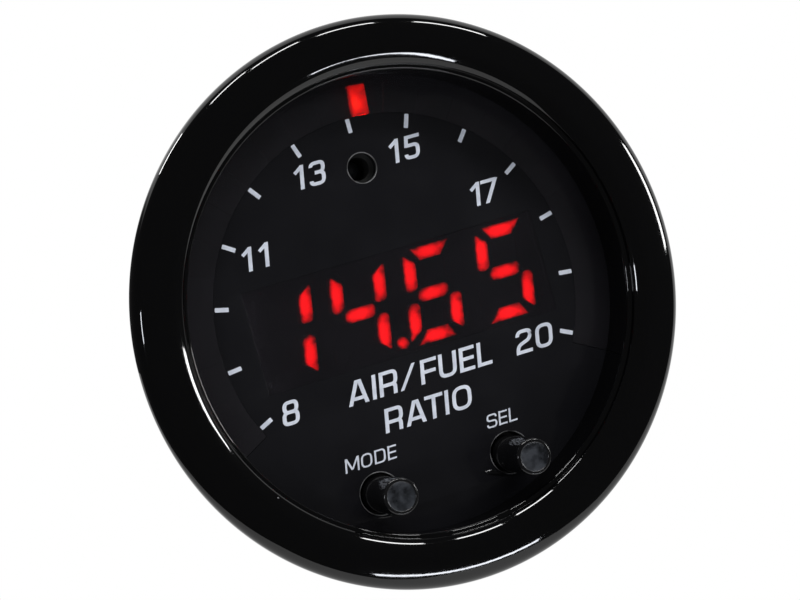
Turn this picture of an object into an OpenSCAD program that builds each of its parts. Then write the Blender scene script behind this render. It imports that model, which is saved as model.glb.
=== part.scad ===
// Round panel gauge for an air fuel ratio display.
// Millimetres. The gauge is laid out with its face up: X right, Y up the dial, Z out of the dial,
// and Z = 0 on the plane where the bezel rests on the panel. stand() then turns it upright,
// so that the dial looks along -Y and the top of the dial points along +Z.

/* [Bezel] */
// How far the bezel reaches out past the cup, on each side
bezel_overhang = 4; // [3.4:0.1:7]
// Radius of the front outer edge
bezel_edge_r = 1.5; // [1:0.1:2]
// Radius of the rear outer edge
bezel_back_r = 1.4; // [0.6:0.1:1.5]
// Height of the straight band between the two outer edges
bezel_band_h = 0.2; // [0.1:0.1:1]
// Radius of the domed front
bezel_dome_r = 13.7; // [12:0.1:18]
// Slope of the domed front at its outer end, in degrees
bezel_dome_slope = 18; // [14:1:20]
// Width of the inner lip, from the top of its rounding to the opening
bezel_lip_w = 1.6; // [1.2:0.1:2]
// Radius of the rounding on the inner lip
bezel_lip_r = 0.5; // [0.3:0.05:0.6]
// Width of the ledge between the inner lip's slope and the opening's edge
bezel_ledge_w = 0.2; // [0.1:0.05:0.3]
// Radius of the rounding on the opening's edge
bezel_rim_r = 0.25; // [0.1:0.05:0.35]
// Wall of the threaded collar that goes into the cup
collar_wall = 0.85; // [0.7:0.05:1]
// Depth of the groove behind the bezel, for the cup's chamfered front edge
rim_groove_t = 0.4; // [0.2:0.1:0.5]

/* [Cup] */
// Diameter of the cup, which goes through the panel
barrel_d = 52; // [52:0.1:54]
// Space behind the circuit board, for its components
rear_space = 2.4; // [2:0.1:6]
// Wall of the cup
cup_wall = 0.8; // [0.6:0.05:1.2]
// Thickness of the cup's back wall
cup_back_t = 1; // [0.8:0.1:1.2]
// Chamfer on the cup's rear edge
barrel_chamfer = 0.6; // [0.3:0.1:0.7]
// Radius of the screw bosses in the cup
boss_r = 2.4; // [2.2:0.1:2.6]

/* [Face] */
// How far the dial lies behind the panel plane
face_recess = 2.5; // [2:0.1:2.7]
// Thickness of the dial plate and of its two lenses
face_t = 1; // [0.8:0.1:1.1]
// How far the window hides the ends of the display's body
window_end_cover = 0.15; // [0:0.05:0.5]
// Height of the window above and below the digits
window_edge_h = 0.45; // [0.3:0.05:0.9]
// How far the display window lies right of the centre
window_x = 0.4; // [0:0.05:0.6]
// How far the dial hides the inner ends of the light bars
bar_cover = 0.1; // [0:0.05:0.4]
// Angle that the arc window reaches past the last light bar's middle, in degrees
arc_window_end = 3; // [2:0.5:6]
// Diameter of the light sensor's hole
sensor_hole_d = 3.2; // [2.6:0.1:3.8]
// Distance of that hole from the dial plate's upper edge
sensor_edge_gap = 10.3; // [9:0.1:12]

/* [Light ring] */
// Number of light bars
bar_count = 24; // [12:1:24]
// Angle from one light bar to the next, in degrees
bar_pitch = 10; // [9.6:0.1:10]
// Distance from the dial plate's edge to the middle of a light bar
bar_edge_gap = 3.2; // [2.6:0.1:4]
// Length of a light bar along the radius
bar_len = 3; // [2.2:0.1:3.6]
// Width of a light bar
bar_w = 1.8; // [1.2:0.1:2.2]
// Gap between a light bar and its lamp
lamp_gap = 0.4; // [0.2:0.1:0.8]
// Length of a lamp on the board
lamp_len = 1.6; // [1.2:0.1:2.4]
// Width of a lamp on the board
lamp_w = 0.8; // [0.6:0.1:1.2]
// Height of a lamp on the board
lamp_t = 0.6; // [0.4:0.1:1]

/* [Display] */
// Height of a digit
digit_h = 10.1; // [8:0.1:12]
// Gap between two digits
digit_gap = 1.85; // [1.6:0.05:2.4]
// Width of a digit's bars
seg_w = 1.4; // [1:0.05:1.7]
// Slant of the digits, in degrees
digit_slant = 10; // [6:0.5:11]
// Radius of a decimal point
point_r = 0.7; // [0.4:0.05:0.75]
// Thickness of the moulded bars and points
seg_t = 0.6; // [0.4:0.1:0.9]
// Gap between the light ring and the ends of the display's body
display_end_gap = 3.4; // [3:0.1:4.5]
// Height of the display's body above and below the digits
display_edge_h = 1.05; // [0.8:0.05:1.4]

/* [Buttons] */
// Diameter of a button's stem
button_d = 4; // [3.4:0.1:4.1]
// How far a button stands out of the dial
button_reach = 6.5; // [5:0.1:8]
// Distance of each button from the dial's centre line
button_x = 7.6; // [6.6:0.1:8.6]
// Distance of a button's middle from the level of the dial plate's lower edge
button_edge_gap = 6.3; // [5.8:0.1:8]
// Gap round a button in the dial
button_gap = 0.25; // [0.1:0.05:0.35]
// Radius of the rounding on a button's tip
button_tip_r = 0.45; // [0.2:0.05:0.6]
// Travel of a button
button_travel = 0.5; // [0.3:0.05:0.55]
// How far the collar that keeps a button in stands out of its stem
button_collar_w = 0.8; // [0.6:0.1:1]
// Thickness of that collar
button_collar_t = 0.6; // [0.4:0.1:0.7]
// Diameter of a button's foot
button_foot_d = 2.6; // [2.2:0.1:3]

/* [Board] */
// Thickness of the light baffle, from the dial to the board
baffle_t = 3.5; // [3.4:0.1:3.6]
// Thickness of the circuit board
board_t = 1.6; // [1.2:0.1:1.6]
// Width of a switch body
switch_w = 4.4; // [4:0.1:4.6]
// Height of a switch body
switch_t = 1.35; // [1.2:0.05:1.4]
// Diameter of a switch's plunger
plunger_d = 2; // [1.6:0.1:2]
// Diameter of a board screw's shank
screw_d = 2.2; // [2:0.1:2.4]
// Diameter of a board screw's head
screw_head_d = 4.2; // [3.8:0.1:4.4]
// Height of a board screw's head
screw_head_t = 1.2; // [1:0.1:1.3]
// Diameter of the light sensor
sensor_d = 2.4; // [2:0.1:2.6]
// Height of the light sensor with its domed lens
sensor_t = 1.6; // [1.4:0.1:1.8]
// Wall of the sensor's sleeve
sleeve_wall = 0.85; // [0.6:0.05:1.2]

/* [Plug inlets] */
// Gap between the last pin and an inlet's wall
pin_side_gap = 1.35; // [1:0.05:2]
// Height of both inlets
inlet_h = 8; // [6.6:0.1:9.6]
// Distance from the dial plate's edge to the middle of an inlet
inlet_edge_gap = 13; // [12:0.1:14]
// Wall of an inlet
inlet_wall = 1; // [0.8:0.1:1.2]
// How far an inlet stands out of the cup's back
inlet_reach = 6.5; // [6:0.1:8]
// Side of a square contact pin
pin_w = 0.64; // [0.5:0.02:0.8]
// Distance from one pin to the next
pin_pitch = 2.54; // [2.4:0.02:2.6]

/* [Studs] */
// Diameter of a stud's free end
stud_d = 4; // [3:0.1:4.2]
// Diameter of a stud's root, which goes through the cup and the nut
stud_root_d = 4.6; // [4.4:0.1:5.4]
// Distance from the dial plate's edge to the middle of a stud
stud_edge_gap = 8; // [6:0.1:9]
// How far the studs stand out of the cup's back
stud_reach = 12; // [8:0.5:25]
// Width across the flats of a stud's nut
nut_af = 7.6; // [7:0.1:9]
// Height of a stud's nut
nut_t = 3.2; // [2:0.1:4]

/* [Hidden] */
$fn = 96;
// Overrun of a cut past the face that it opens
cut = 0.5;
// Gap between pieces that slip into each other
slip = 0.05;
// Gap of a running fit
run_gap = 0.08;
// Gap round pieces that are dropped into a pocket
drop_gap = 0.2;
// Gap in front of a piece that sits just below the dial
under_gap = 0.3;
// Steps in each rounding of the bezel and of a button's tip
arc_steps = 6;

barrel_r = barrel_d / 2;
cup_r = barrel_r - cup_wall;
face_r = cup_r - drop_gap;
bezel_r = barrel_r + bezel_overhang;
collar_r = cup_r - slip;
open_r = collar_r - collar_wall;
edge_z = bezel_back_r + bezel_band_h;

// Heights of the layers, from the dial down to the cup's back
dial_z = -face_recess;
baffle_z = dial_z - face_t;
board_z = baffle_z - baffle_t;
board_back_z = board_z - board_t;
floor_z = board_back_z - rear_space;
cup_back_z = floor_z - cup_back_t;

// The light bars stop just below their lens, which reaches from their inner ends to the plate's edge
bar_z = baffle_z - under_gap;
bar_t = baffle_t - under_gap - lamp_t - lamp_gap;
bar_mid_r = face_r - bar_edge_gap;
bar_in_r = bar_mid_r - bar_len / 2;
arc_window_r = bar_in_r + bar_cover;
arc_window_sweep = (bar_count - 1) * bar_pitch + 2 * arc_window_end;
// Angle of the gap at each end of the arc lens
lens_gap_angle = slip / arc_window_r * 180 / PI;

// The display fills the width inside the light ring
digit_count = 4;
display_z = baffle_z - under_gap;
display_w = 2 * (bar_in_r - display_end_gap);
display_h = digit_h + 2 * display_edge_h;
digit_pitch = display_w / digit_count;
digit_w = digit_pitch - digit_gap;
window_w = display_w - 2 * window_end_cover;
window_h = digit_h + 2 * window_edge_h;
sensor_y = face_r - sensor_edge_gap;
sleeve_r = sensor_d / 2 + slip + sleeve_wall;

// A button from its tip to its foot
button_y = face_r - button_edge_gap;
button_collar_d = button_d + 2 * button_collar_w;
tip_z = dial_z + button_reach;
collar_z = baffle_z - under_gap;
collar_end_z = collar_z - button_collar_t;
switch_z = board_z + switch_t;
foot_z = switch_z + button_travel + slip;
plunger_deep = plunger_d / 2;

// Two board screws lie inside the light ring at this angle above the level, and one between the buttons
screw_angle = 45;
screw_ring_gap = 3;
screw_r = bar_in_r - screw_ring_gap;
screw_places = [
    for (side = [-1, 1]) [side * screw_r * cos(screw_angle), screw_r * sin(screw_angle)],
    [0, -button_y]
];
screw_seat_z = baffle_z - under_gap - screw_head_t;
screw_end_z = floor_z + cup_back_t / 2;

// Large components in a row on the back of the board, between the inlets: width, height and depth of each
part_gap = 0.5;
crystal_size = [2.5, 3.2, 0.8];
chip_size = [7, 7, 1.4];
regulator_size = [3.5, 6.5, 1.7];
capacitor_size = [2.6, 3, 1.8];
capacitor_count = 2;
row_w = crystal_size[0] + chip_size[0] + regulator_size[0] + capacitor_size[0] + 3 * part_gap;
crystal_x = (crystal_size[0] - row_w) / 2;
chip_x = crystal_x + (crystal_size[0] + chip_size[0]) / 2 + part_gap;
regulator_x = chip_x + (chip_size[0] + regulator_size[0]) / 2 + part_gap;
capacitor_x = regulator_x + (regulator_size[0] + capacitor_size[0]) / 2 + part_gap;

// The inlets' pins, their floor behind the board and their latch ramp
power_pin_count = 4;
signal_pin_count = 6;
inlet_y = face_r - inlet_edge_gap;
inlet_floor_t = 1;
pin_reach = 4.4;
latch_w = 4;
latch_h = 0.9;
latch_l = 2;
inlet_end_z = cup_back_z - inlet_reach;
inlet_floor_z = board_back_z - inlet_floor_t;
function inlet_w(count) = (count - 1) * pin_pitch + pin_w + 2 * (pin_side_gap + inlet_wall);

// A stud and its head inside the cup
stud_x = face_r - stud_edge_gap;
stud_head_d = stud_root_d * 1.4;
stud_head_t = cup_back_t;
// The root ends in a shoulder just past the nut
shoulder_z = cup_back_z - nut_t - drop_gap;

// Turns the face-up layout upright, with the dial looking along -Y
module stand() {
    rotate([90, 0, 0]) children();
}

// Points of an arc about [x, z], from angle a0 to a1, counted from the X axis.
// An arc that carries on from another one leaves out its first point.
function arc(x, z, r, a0, a1, first = 0) = [
    for (i = [first : arc_steps]) let (a = a0 + (a1 - a0) * i / arc_steps) [x + r * cos(a), z + r * sin(a)]
];

// A disc between two heights
module disc(r, z0, z1) {
    translate([0, 0, min(z0, z1)]) cylinder(r = r, h = abs(z1 - z0));
}

// A box centred on [x, y], between two heights
module block(x, y, w, h, z0, z1) {
    translate([x - w / 2, y - h / 2, min(z0, z1)]) cube([w, h, abs(z1 - z0)]);
}

// Copies its children to each place of a light bar, with X along the radius
module at_bars() {
    for (i = [0 : bar_count - 1]) {
        rotate([0, 0, 90 + (i - (bar_count - 1) / 2) * bar_pitch]) translate([bar_mid_r, 0, 0]) children();
    }
}

module at_screws() {
    for (p = screw_places) translate([p[0], p[1], 0]) children();
}

module at_buttons() {
    for (side = [-1, 1]) translate([side * button_x, -button_y, 0]) children();
}

// The bezel's section: collar, groove, rear seat, rounded outer edge, domed front, inner lip, ledge
dome_start = 90 - bezel_dome_slope;
edge_x = bezel_r - bezel_edge_r;
dome_x = edge_x + (bezel_edge_r - bezel_dome_r) * cos(dome_start);
dome_z = edge_z + (bezel_edge_r - bezel_dome_r) * sin(dome_start);
lip_angle = acos((open_r + bezel_lip_w - dome_x) / bezel_dome_r);
lip_x = dome_x + (bezel_dome_r - bezel_lip_r) * cos(lip_angle);
lip_z = dome_z + (bezel_dome_r - bezel_lip_r) * sin(lip_angle);
// Direction in which the lip's rounding ends, counted from the X axis
lip_end = 140;
chamfer_x = lip_x + bezel_lip_r * cos(lip_end);
chamfer_z = lip_z + bezel_lip_r * sin(lip_end);
// The slope below the lip ends at a narrow ledge, and that in the rounded edge of the opening
rim_x = open_r + bezel_rim_r;
ledge_x = rim_x + bezel_ledge_w;
ledge_z = chamfer_z - (chamfer_x - ledge_x) * tan(lip_end - 90);

module bezel() {
    outline = concat(
        [[open_r, dial_z], [collar_r, dial_z], [collar_r, rim_groove_t]],
        [[barrel_r + slip, rim_groove_t], [barrel_r + slip, 0]],
        arc(bezel_r - bezel_back_r, bezel_back_r, bezel_back_r, -90, 0),
        arc(edge_x, edge_z, bezel_edge_r, 0, dome_start),
        arc(dome_x, dome_z, bezel_dome_r, dome_start, lip_angle, 1),
        arc(lip_x, lip_z, bezel_lip_r, lip_angle, lip_end, 1),
        [[ledge_x, ledge_z]],
        arc(rim_x, ledge_z - bezel_rim_r, bezel_rim_r, 90, 180)
    );
    color("#0b0b0c") rotate_extrude() polygon(outline);
}

// A ring sector about the top of the dial
module sector(r0, r1, sweep, z0, z1) {
    translate([0, 0, min(z0, z1)]) rotate([0, 0, 90 - sweep / 2]) rotate_extrude(angle = sweep)
        translate([r0, 0]) square([r1 - r0, abs(z1 - z0)]);
}

module faceplate() {
    color("#17171b") difference() {
        disc(face_r, baffle_z, dial_z);
        block(window_x, 0, window_w, window_h, baffle_z - cut, dial_z + cut);
        sector(arc_window_r, face_r + cut, arc_window_sweep, baffle_z - cut, dial_z + cut);
        translate([0, sensor_y, 0]) disc(sensor_hole_d / 2, baffle_z - cut, dial_z + cut);
        at_buttons() disc(button_d / 2 + button_gap, baffle_z - cut, dial_z + cut);
    }
}

module display_window() {
    color("#1b1b1f") block(window_x, 0, window_w - slip, window_h - slip, baffle_z, dial_z);
}

module ring_window() {
    color("#1b1b1f")
        sector(arc_window_r + slip / 2, face_r, arc_window_sweep - 2 * lens_gap_angle, baffle_z, dial_z);
}

module light_baffle() {
    color("#101012") difference() {
        disc(face_r, board_z, baffle_z);
        at_bars() block(0, 0, bar_len + slip, bar_w + slip, board_z - cut, baffle_z + cut);
        block(0, 0, display_w + drop_gap, display_h + drop_gap, board_z - cut, baffle_z + cut);
        translate([0, sensor_y, 0]) disc(sleeve_r + slip, board_z - cut, baffle_z + cut);
        at_buttons() {
            disc(button_collar_d / 2 + run_gap, board_z - cut, baffle_z + cut);
            block(0, 0, switch_w + drop_gap, switch_w + drop_gap, board_z - cut, switch_z + slip);
        }
        at_screws() {
            disc(screw_d / 2 + drop_gap, board_z - cut, baffle_z + cut);
            disc(screw_head_d / 2 + drop_gap, screw_seat_z, baffle_z + cut);
        }
    }
}

module ring_diffusers() {
    color("#5a0c0c") at_bars() block(0, 0, bar_len, bar_w, bar_z - bar_t, bar_z);
}

module ring_leds() {
    color("#e8e0c8") at_bars() block(0, 0, lamp_len, lamp_w, board_z, board_z + lamp_t);
}

// The bars of one upright digit. An outer bar ends in a slanted cut at the digit's corners.
bar_out_x = digit_w / 2;
bar_in_x = bar_out_x - seg_w;
bar_top_y = digit_h / 2;
side_top_share = 0.9;
side_low_share = 0.13;
side_cut_share = 0.8;
cap_out_share = 0.65;
cap_in_share = 0.35;
middle_share = 0.53;
round_share = 0.3;
side_top_y = bar_top_y * side_top_share;
side_low_y = bar_top_y * side_low_share;

function side_bar() = [
    [bar_out_x, side_top_y],
    [bar_in_x, side_top_y - seg_w * side_cut_share],
    [bar_in_x, side_low_y + seg_w * round_share],
    [(bar_in_x + bar_out_x) / 2, side_low_y],
    [bar_out_x, side_low_y + seg_w * round_share]
];
function cap_bar() = [
    [-bar_out_x * cap_out_share, bar_top_y],
    [bar_out_x * cap_out_share, bar_top_y],
    [bar_out_x * cap_in_share, bar_top_y - seg_w],
    [-bar_out_x * cap_in_share, bar_top_y - seg_w]
];
function middle_bar() = [
    [-bar_out_x * middle_share, 0],
    [-bar_out_x * middle_share + seg_w * round_share, seg_w / 2],
    [bar_out_x * middle_share - seg_w * round_share, seg_w / 2],
    [bar_out_x * middle_share, 0],
    [bar_out_x * middle_share - seg_w * round_share, -seg_w / 2],
    [-bar_out_x * middle_share + seg_w * round_share, -seg_w / 2]
];
function flip(points, sx, sy) = [for (p = points) [p[0] * sx, p[1] * sy]];
function lean(points) = [for (p = points) [p[0] + p[1] * tan(digit_slant), p[1]]];

digit_bars = [
    cap_bar(), flip(cap_bar(), 1, -1), middle_bar(),
    side_bar(), flip(side_bar(), -1, 1), flip(side_bar(), 1, -1), flip(side_bar(), -1, -1)
];
// The bars and points of all digits, between two heights
module digits(z0, z1) {
    for (i = [0 : digit_count - 1]) translate([(i - (digit_count - 1) / 2) * digit_pitch, 0, z0]) {
        for (b = digit_bars) linear_extrude(height = z1 - z0) polygon(lean(b));
        point = lean([[digit_pitch / 2, point_r - bar_top_y]])[0];
        translate([point[0], point[1], 0]) cylinder(r = point_r, h = z1 - z0);
    }
}

module display_module() {
    color("#26262a") difference() {
        block(0, 0, display_w, display_h, board_z, display_z);
        digits(display_z - seg_t, display_z + cut);
    }
}

module display_segments() {
    color("#d81418") digits(display_z - seg_t, display_z);
}

module main_board() {
    color("#1f5a33") difference() {
        disc(face_r, board_back_z, board_z);
        at_screws() disc(screw_d / 2 + drop_gap, board_back_z - cut, board_z + cut);
    }
}

module board_screws() {
    color("#b9bcc0") at_screws() {
        disc(screw_head_d / 2, screw_seat_z, screw_seat_z + screw_head_t);
        disc(screw_d / 2, screw_end_z, screw_seat_z);
    }
}

module button() {
    tip = arc(button_d / 2 - button_tip_r, tip_z - button_tip_r, button_tip_r, 0, 90);
    stem = concat(
        [[0, foot_z], [button_foot_d / 2, foot_z], [button_foot_d / 2, collar_end_z]],
        [[button_collar_d / 2, collar_end_z], [button_collar_d / 2, collar_z], [button_d / 2, collar_z]],
        tip,
        [[0, tip_z]]
    );
    color("#121214") rotate_extrude() polygon(stem);
}

module plunger() {
    color("#3a3a3e") disc(plunger_d / 2, switch_z - plunger_deep / 2, foot_z);
}

// The switch has a well for its plunger, deep enough for the whole travel
module switch_body() {
    color("#0e0e10") difference() {
        block(0, 0, switch_w, switch_w, board_z, switch_z);
        disc(plunger_d / 2 + slip, switch_z - plunger_deep / 2 - button_travel - slip, switch_z + cut);
    }
}

module at_mode() {
    translate([-button_x, -button_y, 0]) children();
}

module at_select() {
    translate([button_x, -button_y, 0]) children();
}

module sensor_tube() {
    color("#0c0c0e") translate([0, sensor_y, 0]) difference() {
        disc(sleeve_r, board_z, baffle_z);
        disc(sensor_d / 2 + slip, board_z - cut, baffle_z + cut);
    }
}

module light_sensor() {
    lens_r = sensor_d / 2;
    lens_z = board_z + sensor_t - lens_r;
    color("#30343c") translate([0, sensor_y, 0]) rotate_extrude()
        polygon(concat([[0, board_z], [lens_r, board_z]], arc(0, lens_z, lens_r, 0, 90)));
}

// A component given by its size, with its top against the board's back
module part_block(x, y, size) {
    block(x, y, size[0], size[1], board_back_z - size[2], board_back_z);
}

module controller_chip() {
    color("#222226") part_block(chip_x, 0, chip_size);
}

module crystal() {
    color("#c9ccd0") part_block(crystal_x, 0, crystal_size);
}

module voltage_regulator() {
    color("#202024") part_block(regulator_x, 0, regulator_size);
}

module filter_capacitors() {
    pitch = capacitor_size[1] + part_gap;
    color("#c88a2c") for (i = [0 : capacitor_count - 1])
        part_block(capacitor_x, (i - (capacitor_count - 1) / 2) * pitch, capacitor_size);
}

// Square contact pins in a row, thickened by grow on every side
module pin_row(count, grow, z0, z1) {
    for (i = [0 : count - 1])
        block((i - (count - 1) / 2) * pin_pitch, 0, pin_w + 2 * grow, pin_w + 2 * grow, z0, z1);
}

// An open box for a plug, with a floor that the pins go through and a latch ramp on its outer side
module header(pins, side) {
    w = inlet_w(pins);
    color("#141416") translate([0, side * inlet_y, 0]) {
        difference() {
            block(0, 0, w, inlet_h, inlet_end_z, board_back_z);
            block(0, 0, w - 2 * inlet_wall, inlet_h - 2 * inlet_wall, inlet_end_z - cut, inlet_floor_z);
            pin_row(pins, slip / 2, inlet_floor_z - cut, board_back_z + cut);
        }
        translate([-latch_w / 2, side * inlet_h / 2, inlet_end_z + inlet_wall]) rotate([0, 90, 0])
            linear_extrude(height = latch_w) polygon([[0, 0], [-latch_l, 0], [-latch_l, side * latch_h]]);
    }
}

module pins(count, side) {
    color("#d2b45a") translate([0, side * inlet_y, 0])
        pin_row(count, 0, inlet_floor_z - pin_reach, board_back_z);
}

module housing_cup() {
    color("#161618") difference() {
        union() {
            difference() {
                rotate_extrude() polygon([
                    [0, cup_back_z], [barrel_r - barrel_chamfer, cup_back_z],
                    [barrel_r, cup_back_z + barrel_chamfer], [barrel_r, 0],
                    [barrel_r - rim_groove_t, rim_groove_t], [0, rim_groove_t]
                ]);
                disc(cup_r, floor_z, rim_groove_t + cut);
            }
            at_screws() disc(boss_r, floor_z, board_back_z);
        }
        at_screws() disc(screw_d / 2 + slip, screw_end_z - slip, board_back_z + cut);
        inlet_hole(power_pin_count, 1);
        inlet_hole(signal_pin_count, -1);
        at_studs() disc(stud_root_d / 2 + slip, cup_back_z - cut, floor_z + cut);
    }
}

// The hole in the cup's back that an inlet comes through
module inlet_hole(count, side) {
    w = inlet_w(count) + drop_gap;
    block(0, side * inlet_y, w, inlet_h + drop_gap, cup_back_z - cut, floor_z + cut);
}

module at_studs() {
    for (side = [-1, 1]) translate([side * stud_x, 0, 0]) children();
}

module studs() {
    color("#c4c7cb") at_studs() {
        disc(stud_head_d / 2, floor_z, floor_z + stud_head_t);
        disc(stud_root_d / 2, shoulder_z, floor_z);
        disc(stud_d / 2, cup_back_z - stud_reach, shoulder_z);
    }
}

// A circle of six sides is drawn by its corners, so its radius follows from the width across the flats
module stud_nuts() {
    color("#c4c7cb") at_studs() difference() {
        translate([0, 0, cup_back_z - nut_t]) cylinder(r = nut_af / 2 / cos(30), h = nut_t, $fn = 6);
        disc(stud_root_d / 2 + slip, cup_back_z - nut_t - cut, cup_back_z + cut);
    }
}

stand() bezel();
stand() faceplate();
stand() display_window();
stand() ring_window();
stand() light_baffle();
stand() ring_diffusers();
stand() ring_leds();
stand() display_module();
stand() display_segments();
stand() main_board();
stand() board_screws();
stand() at_mode() button();  // mode_button
stand() at_mode() plunger();  // mode_plunger
stand() at_mode() switch_body();  // mode_switch
stand() at_select() button();  // select_button
stand() at_select() plunger();  // select_plunger
stand() at_select() switch_body();  // select_switch
stand() sensor_tube();
stand() light_sensor();
stand() controller_chip();
stand() crystal();
stand() voltage_regulator();
stand() filter_capacitors();
stand() header(power_pin_count, 1);  // power_header
stand() pins(power_pin_count, 1);  // power_pins
stand() header(signal_pin_count, -1);  // signal_header
stand() pins(signal_pin_count, -1);  // signal_pins
stand() housing_cup();
stand() studs();
stand() stud_nuts();
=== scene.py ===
# %% [markdown]
# A round panel gauge is dressed here: a deep gloss black bezel round a black dial, a ring of light bars,
# four red digits behind a smoked window, and two push buttons. Its sizes come from the CAD model, which is
# loaded first and stays fixed. Everything after that is built around it, in the same frame and in metres.

# %% Load the fixed model
import math
import bmesh
import bpy
from mathutils import Matrix, Vector


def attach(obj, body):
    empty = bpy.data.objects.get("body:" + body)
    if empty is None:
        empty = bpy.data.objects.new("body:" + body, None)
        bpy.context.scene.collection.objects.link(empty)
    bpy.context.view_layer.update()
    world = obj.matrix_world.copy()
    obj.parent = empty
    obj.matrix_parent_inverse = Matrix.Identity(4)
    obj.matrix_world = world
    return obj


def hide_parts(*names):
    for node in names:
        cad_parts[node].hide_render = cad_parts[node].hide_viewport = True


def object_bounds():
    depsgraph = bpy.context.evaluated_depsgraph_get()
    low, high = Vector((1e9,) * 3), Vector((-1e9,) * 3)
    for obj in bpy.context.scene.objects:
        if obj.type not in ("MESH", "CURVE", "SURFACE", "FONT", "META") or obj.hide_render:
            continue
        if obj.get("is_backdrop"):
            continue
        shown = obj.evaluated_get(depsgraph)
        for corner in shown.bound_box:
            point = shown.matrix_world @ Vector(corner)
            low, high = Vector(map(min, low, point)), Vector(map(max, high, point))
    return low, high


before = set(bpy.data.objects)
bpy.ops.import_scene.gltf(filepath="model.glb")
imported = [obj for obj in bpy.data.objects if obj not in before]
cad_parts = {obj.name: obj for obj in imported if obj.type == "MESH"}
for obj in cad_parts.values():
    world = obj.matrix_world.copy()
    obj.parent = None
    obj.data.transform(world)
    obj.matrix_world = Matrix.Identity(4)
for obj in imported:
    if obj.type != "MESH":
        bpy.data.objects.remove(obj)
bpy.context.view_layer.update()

# %% [markdown]
# The dial is easiest to think of face on: x to the right, y up the dial and z out of it, in millimetres,
# with z = 0 where the bezel rests on the panel. The gauge itself stands upright and looks along -Y.
# One matrix turns the first into the second, so every piece can be drawn as on a sheet of paper.

# %% Dial coordinates
MM = 0.001
DIAL_TO_WORLD = Matrix(((MM, 0, 0, 0), (0, 0, -MM, 0), (0, MM, 0, 0), (0, 0, 0, 1)))
print("a point 10 mm up the dial is at", DIAL_TO_WORLD @ Vector((0, 10, 0)))

# %% [markdown]
# The photograph was taken from the left of the gauge and a little above, with the camera rolled so that
# the dial leans over in the picture. A camera can be aimed with a constraint, but a roll and an exact
# position are simpler to give as a matrix: its columns are the camera's right, up and backward directions.

# %% Camera
camera_data = bpy.data.cameras.new("camera")
camera_data.sensor_width = 36
camera_data.lens = 131.1
camera_data.clip_start = 0.01
camera = bpy.data.objects.new("camera", camera_data)
right = Vector((0.90709634, -0.32295918, -0.26995111))
up = Vector((0.26940257, -0.04731956, 0.9618644))
back = Vector((-0.32341691, -0.94522919, 0.04408264))
place = Vector((-0.09913, -0.28799, 0.01376))
camera.matrix_world = Matrix((
    (right.x, up.x, back.x, place.x),
    (right.y, up.y, back.y, place.y),
    (right.z, up.z, back.z, place.z),
    (0, 0, 0, 1),
))
bpy.context.scene.collection.objects.link(camera)
bpy.context.scene.camera = camera
bpy.context.scene.view_settings.view_transform = "Standard"
print("camera is", round(place.length * 1000), "mm away")

# %% [markdown]
# Materials are node trees. A few small helpers keep the recipes short: they add a node with its values,
# join sockets, mix two colours, and wire a skin's clouds and pebbles to shade, gloss and bump. An effect
# that several finishes share is built once as a node group, with named inputs, and gives back a mask or a
# height that each material uses in its own way.

# %% Node helpers
def add_node(tree, kind, settings=None, **values):
    """Adds a node; settings are its own properties, values its inputs by name."""
    node = tree.nodes.new(kind)
    for key, value in (settings or {}).items():
        setattr(node, key, value)
    for key, value in values.items():
        node.inputs[key.replace("_", " ")].default_value = value
    return node


def new_group(name, inputs, outputs):
    """An empty shader node group with float inputs (name: default) and float outputs."""
    group = bpy.data.node_groups.new(name, "ShaderNodeTree")
    for key, value in inputs.items():
        socket = group.interface.new_socket(key, in_out="INPUT", socket_type="NodeSocketFloat")
        socket.default_value = value
    for key in outputs:
        group.interface.new_socket(key, in_out="OUTPUT", socket_type="NodeSocketFloat")
    return group, group.nodes.new("NodeGroupInput"), group.nodes.new("NodeGroupOutput")


def use_group(tree, group, **values):
    """Places a group in a material with its own values."""
    return add_node(tree, "ShaderNodeGroup", {"node_tree": group}, **values)


def wire(tree, *links):
    """Joins sockets: each link is a node and its output, then a node and its input."""
    for source, output, target, socket in links:
        tree.links.new(source.outputs[output], target.inputs[socket])


def new_material(name):
    """A fresh material, with its node tree and its main shader."""
    material = bpy.data.materials.new(name)
    material.use_nodes = True
    return material, material.node_tree, material.node_tree.nodes["Principled BSDF"]


def two_colours(tree, first, second):
    """A node that mixes two colours."""
    node = add_node(tree, "ShaderNodeMix", {"data_type": "RGBA"})
    node.inputs["A"].default_value = (*first, 1)
    node.inputs["B"].default_value = (*second, 1)
    return node


def cover(tree, body, skin, mask, first, second, smooth, rough, depth):
    """Lets the skin's mask mix two shades and two roughnesses, and its height be a bump."""
    shades = two_colours(tree, first, second)
    gloss = add_node(tree, "ShaderNodeMapRange", To_Min=smooth, To_Max=rough)
    bump = add_node(tree, "ShaderNodeBump", Strength=1.0, Distance=depth)
    wire(tree,
         (skin, mask, shades, "Factor"), (shades, "Result", body, "Base Color"),
         (skin, mask, gloss, "Value"), (gloss, "Result", body, "Roughness"),
         (skin, "Height", bump, "Height"), (bump, "Normal", body, "Normal"))
    return shades


print("helpers ready")

# %% [markdown]
# Moulded plastic is never quite smooth: the mould's spark-eroded skin leaves a fine pebble, and the
# melt leaves soft cloudy patches where the gloss differs. Noise at two scales gives both. The pebble comes
# out as a height for a bump, the clouds as a value from 0 to 1 that can mix colours or roughness.

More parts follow.
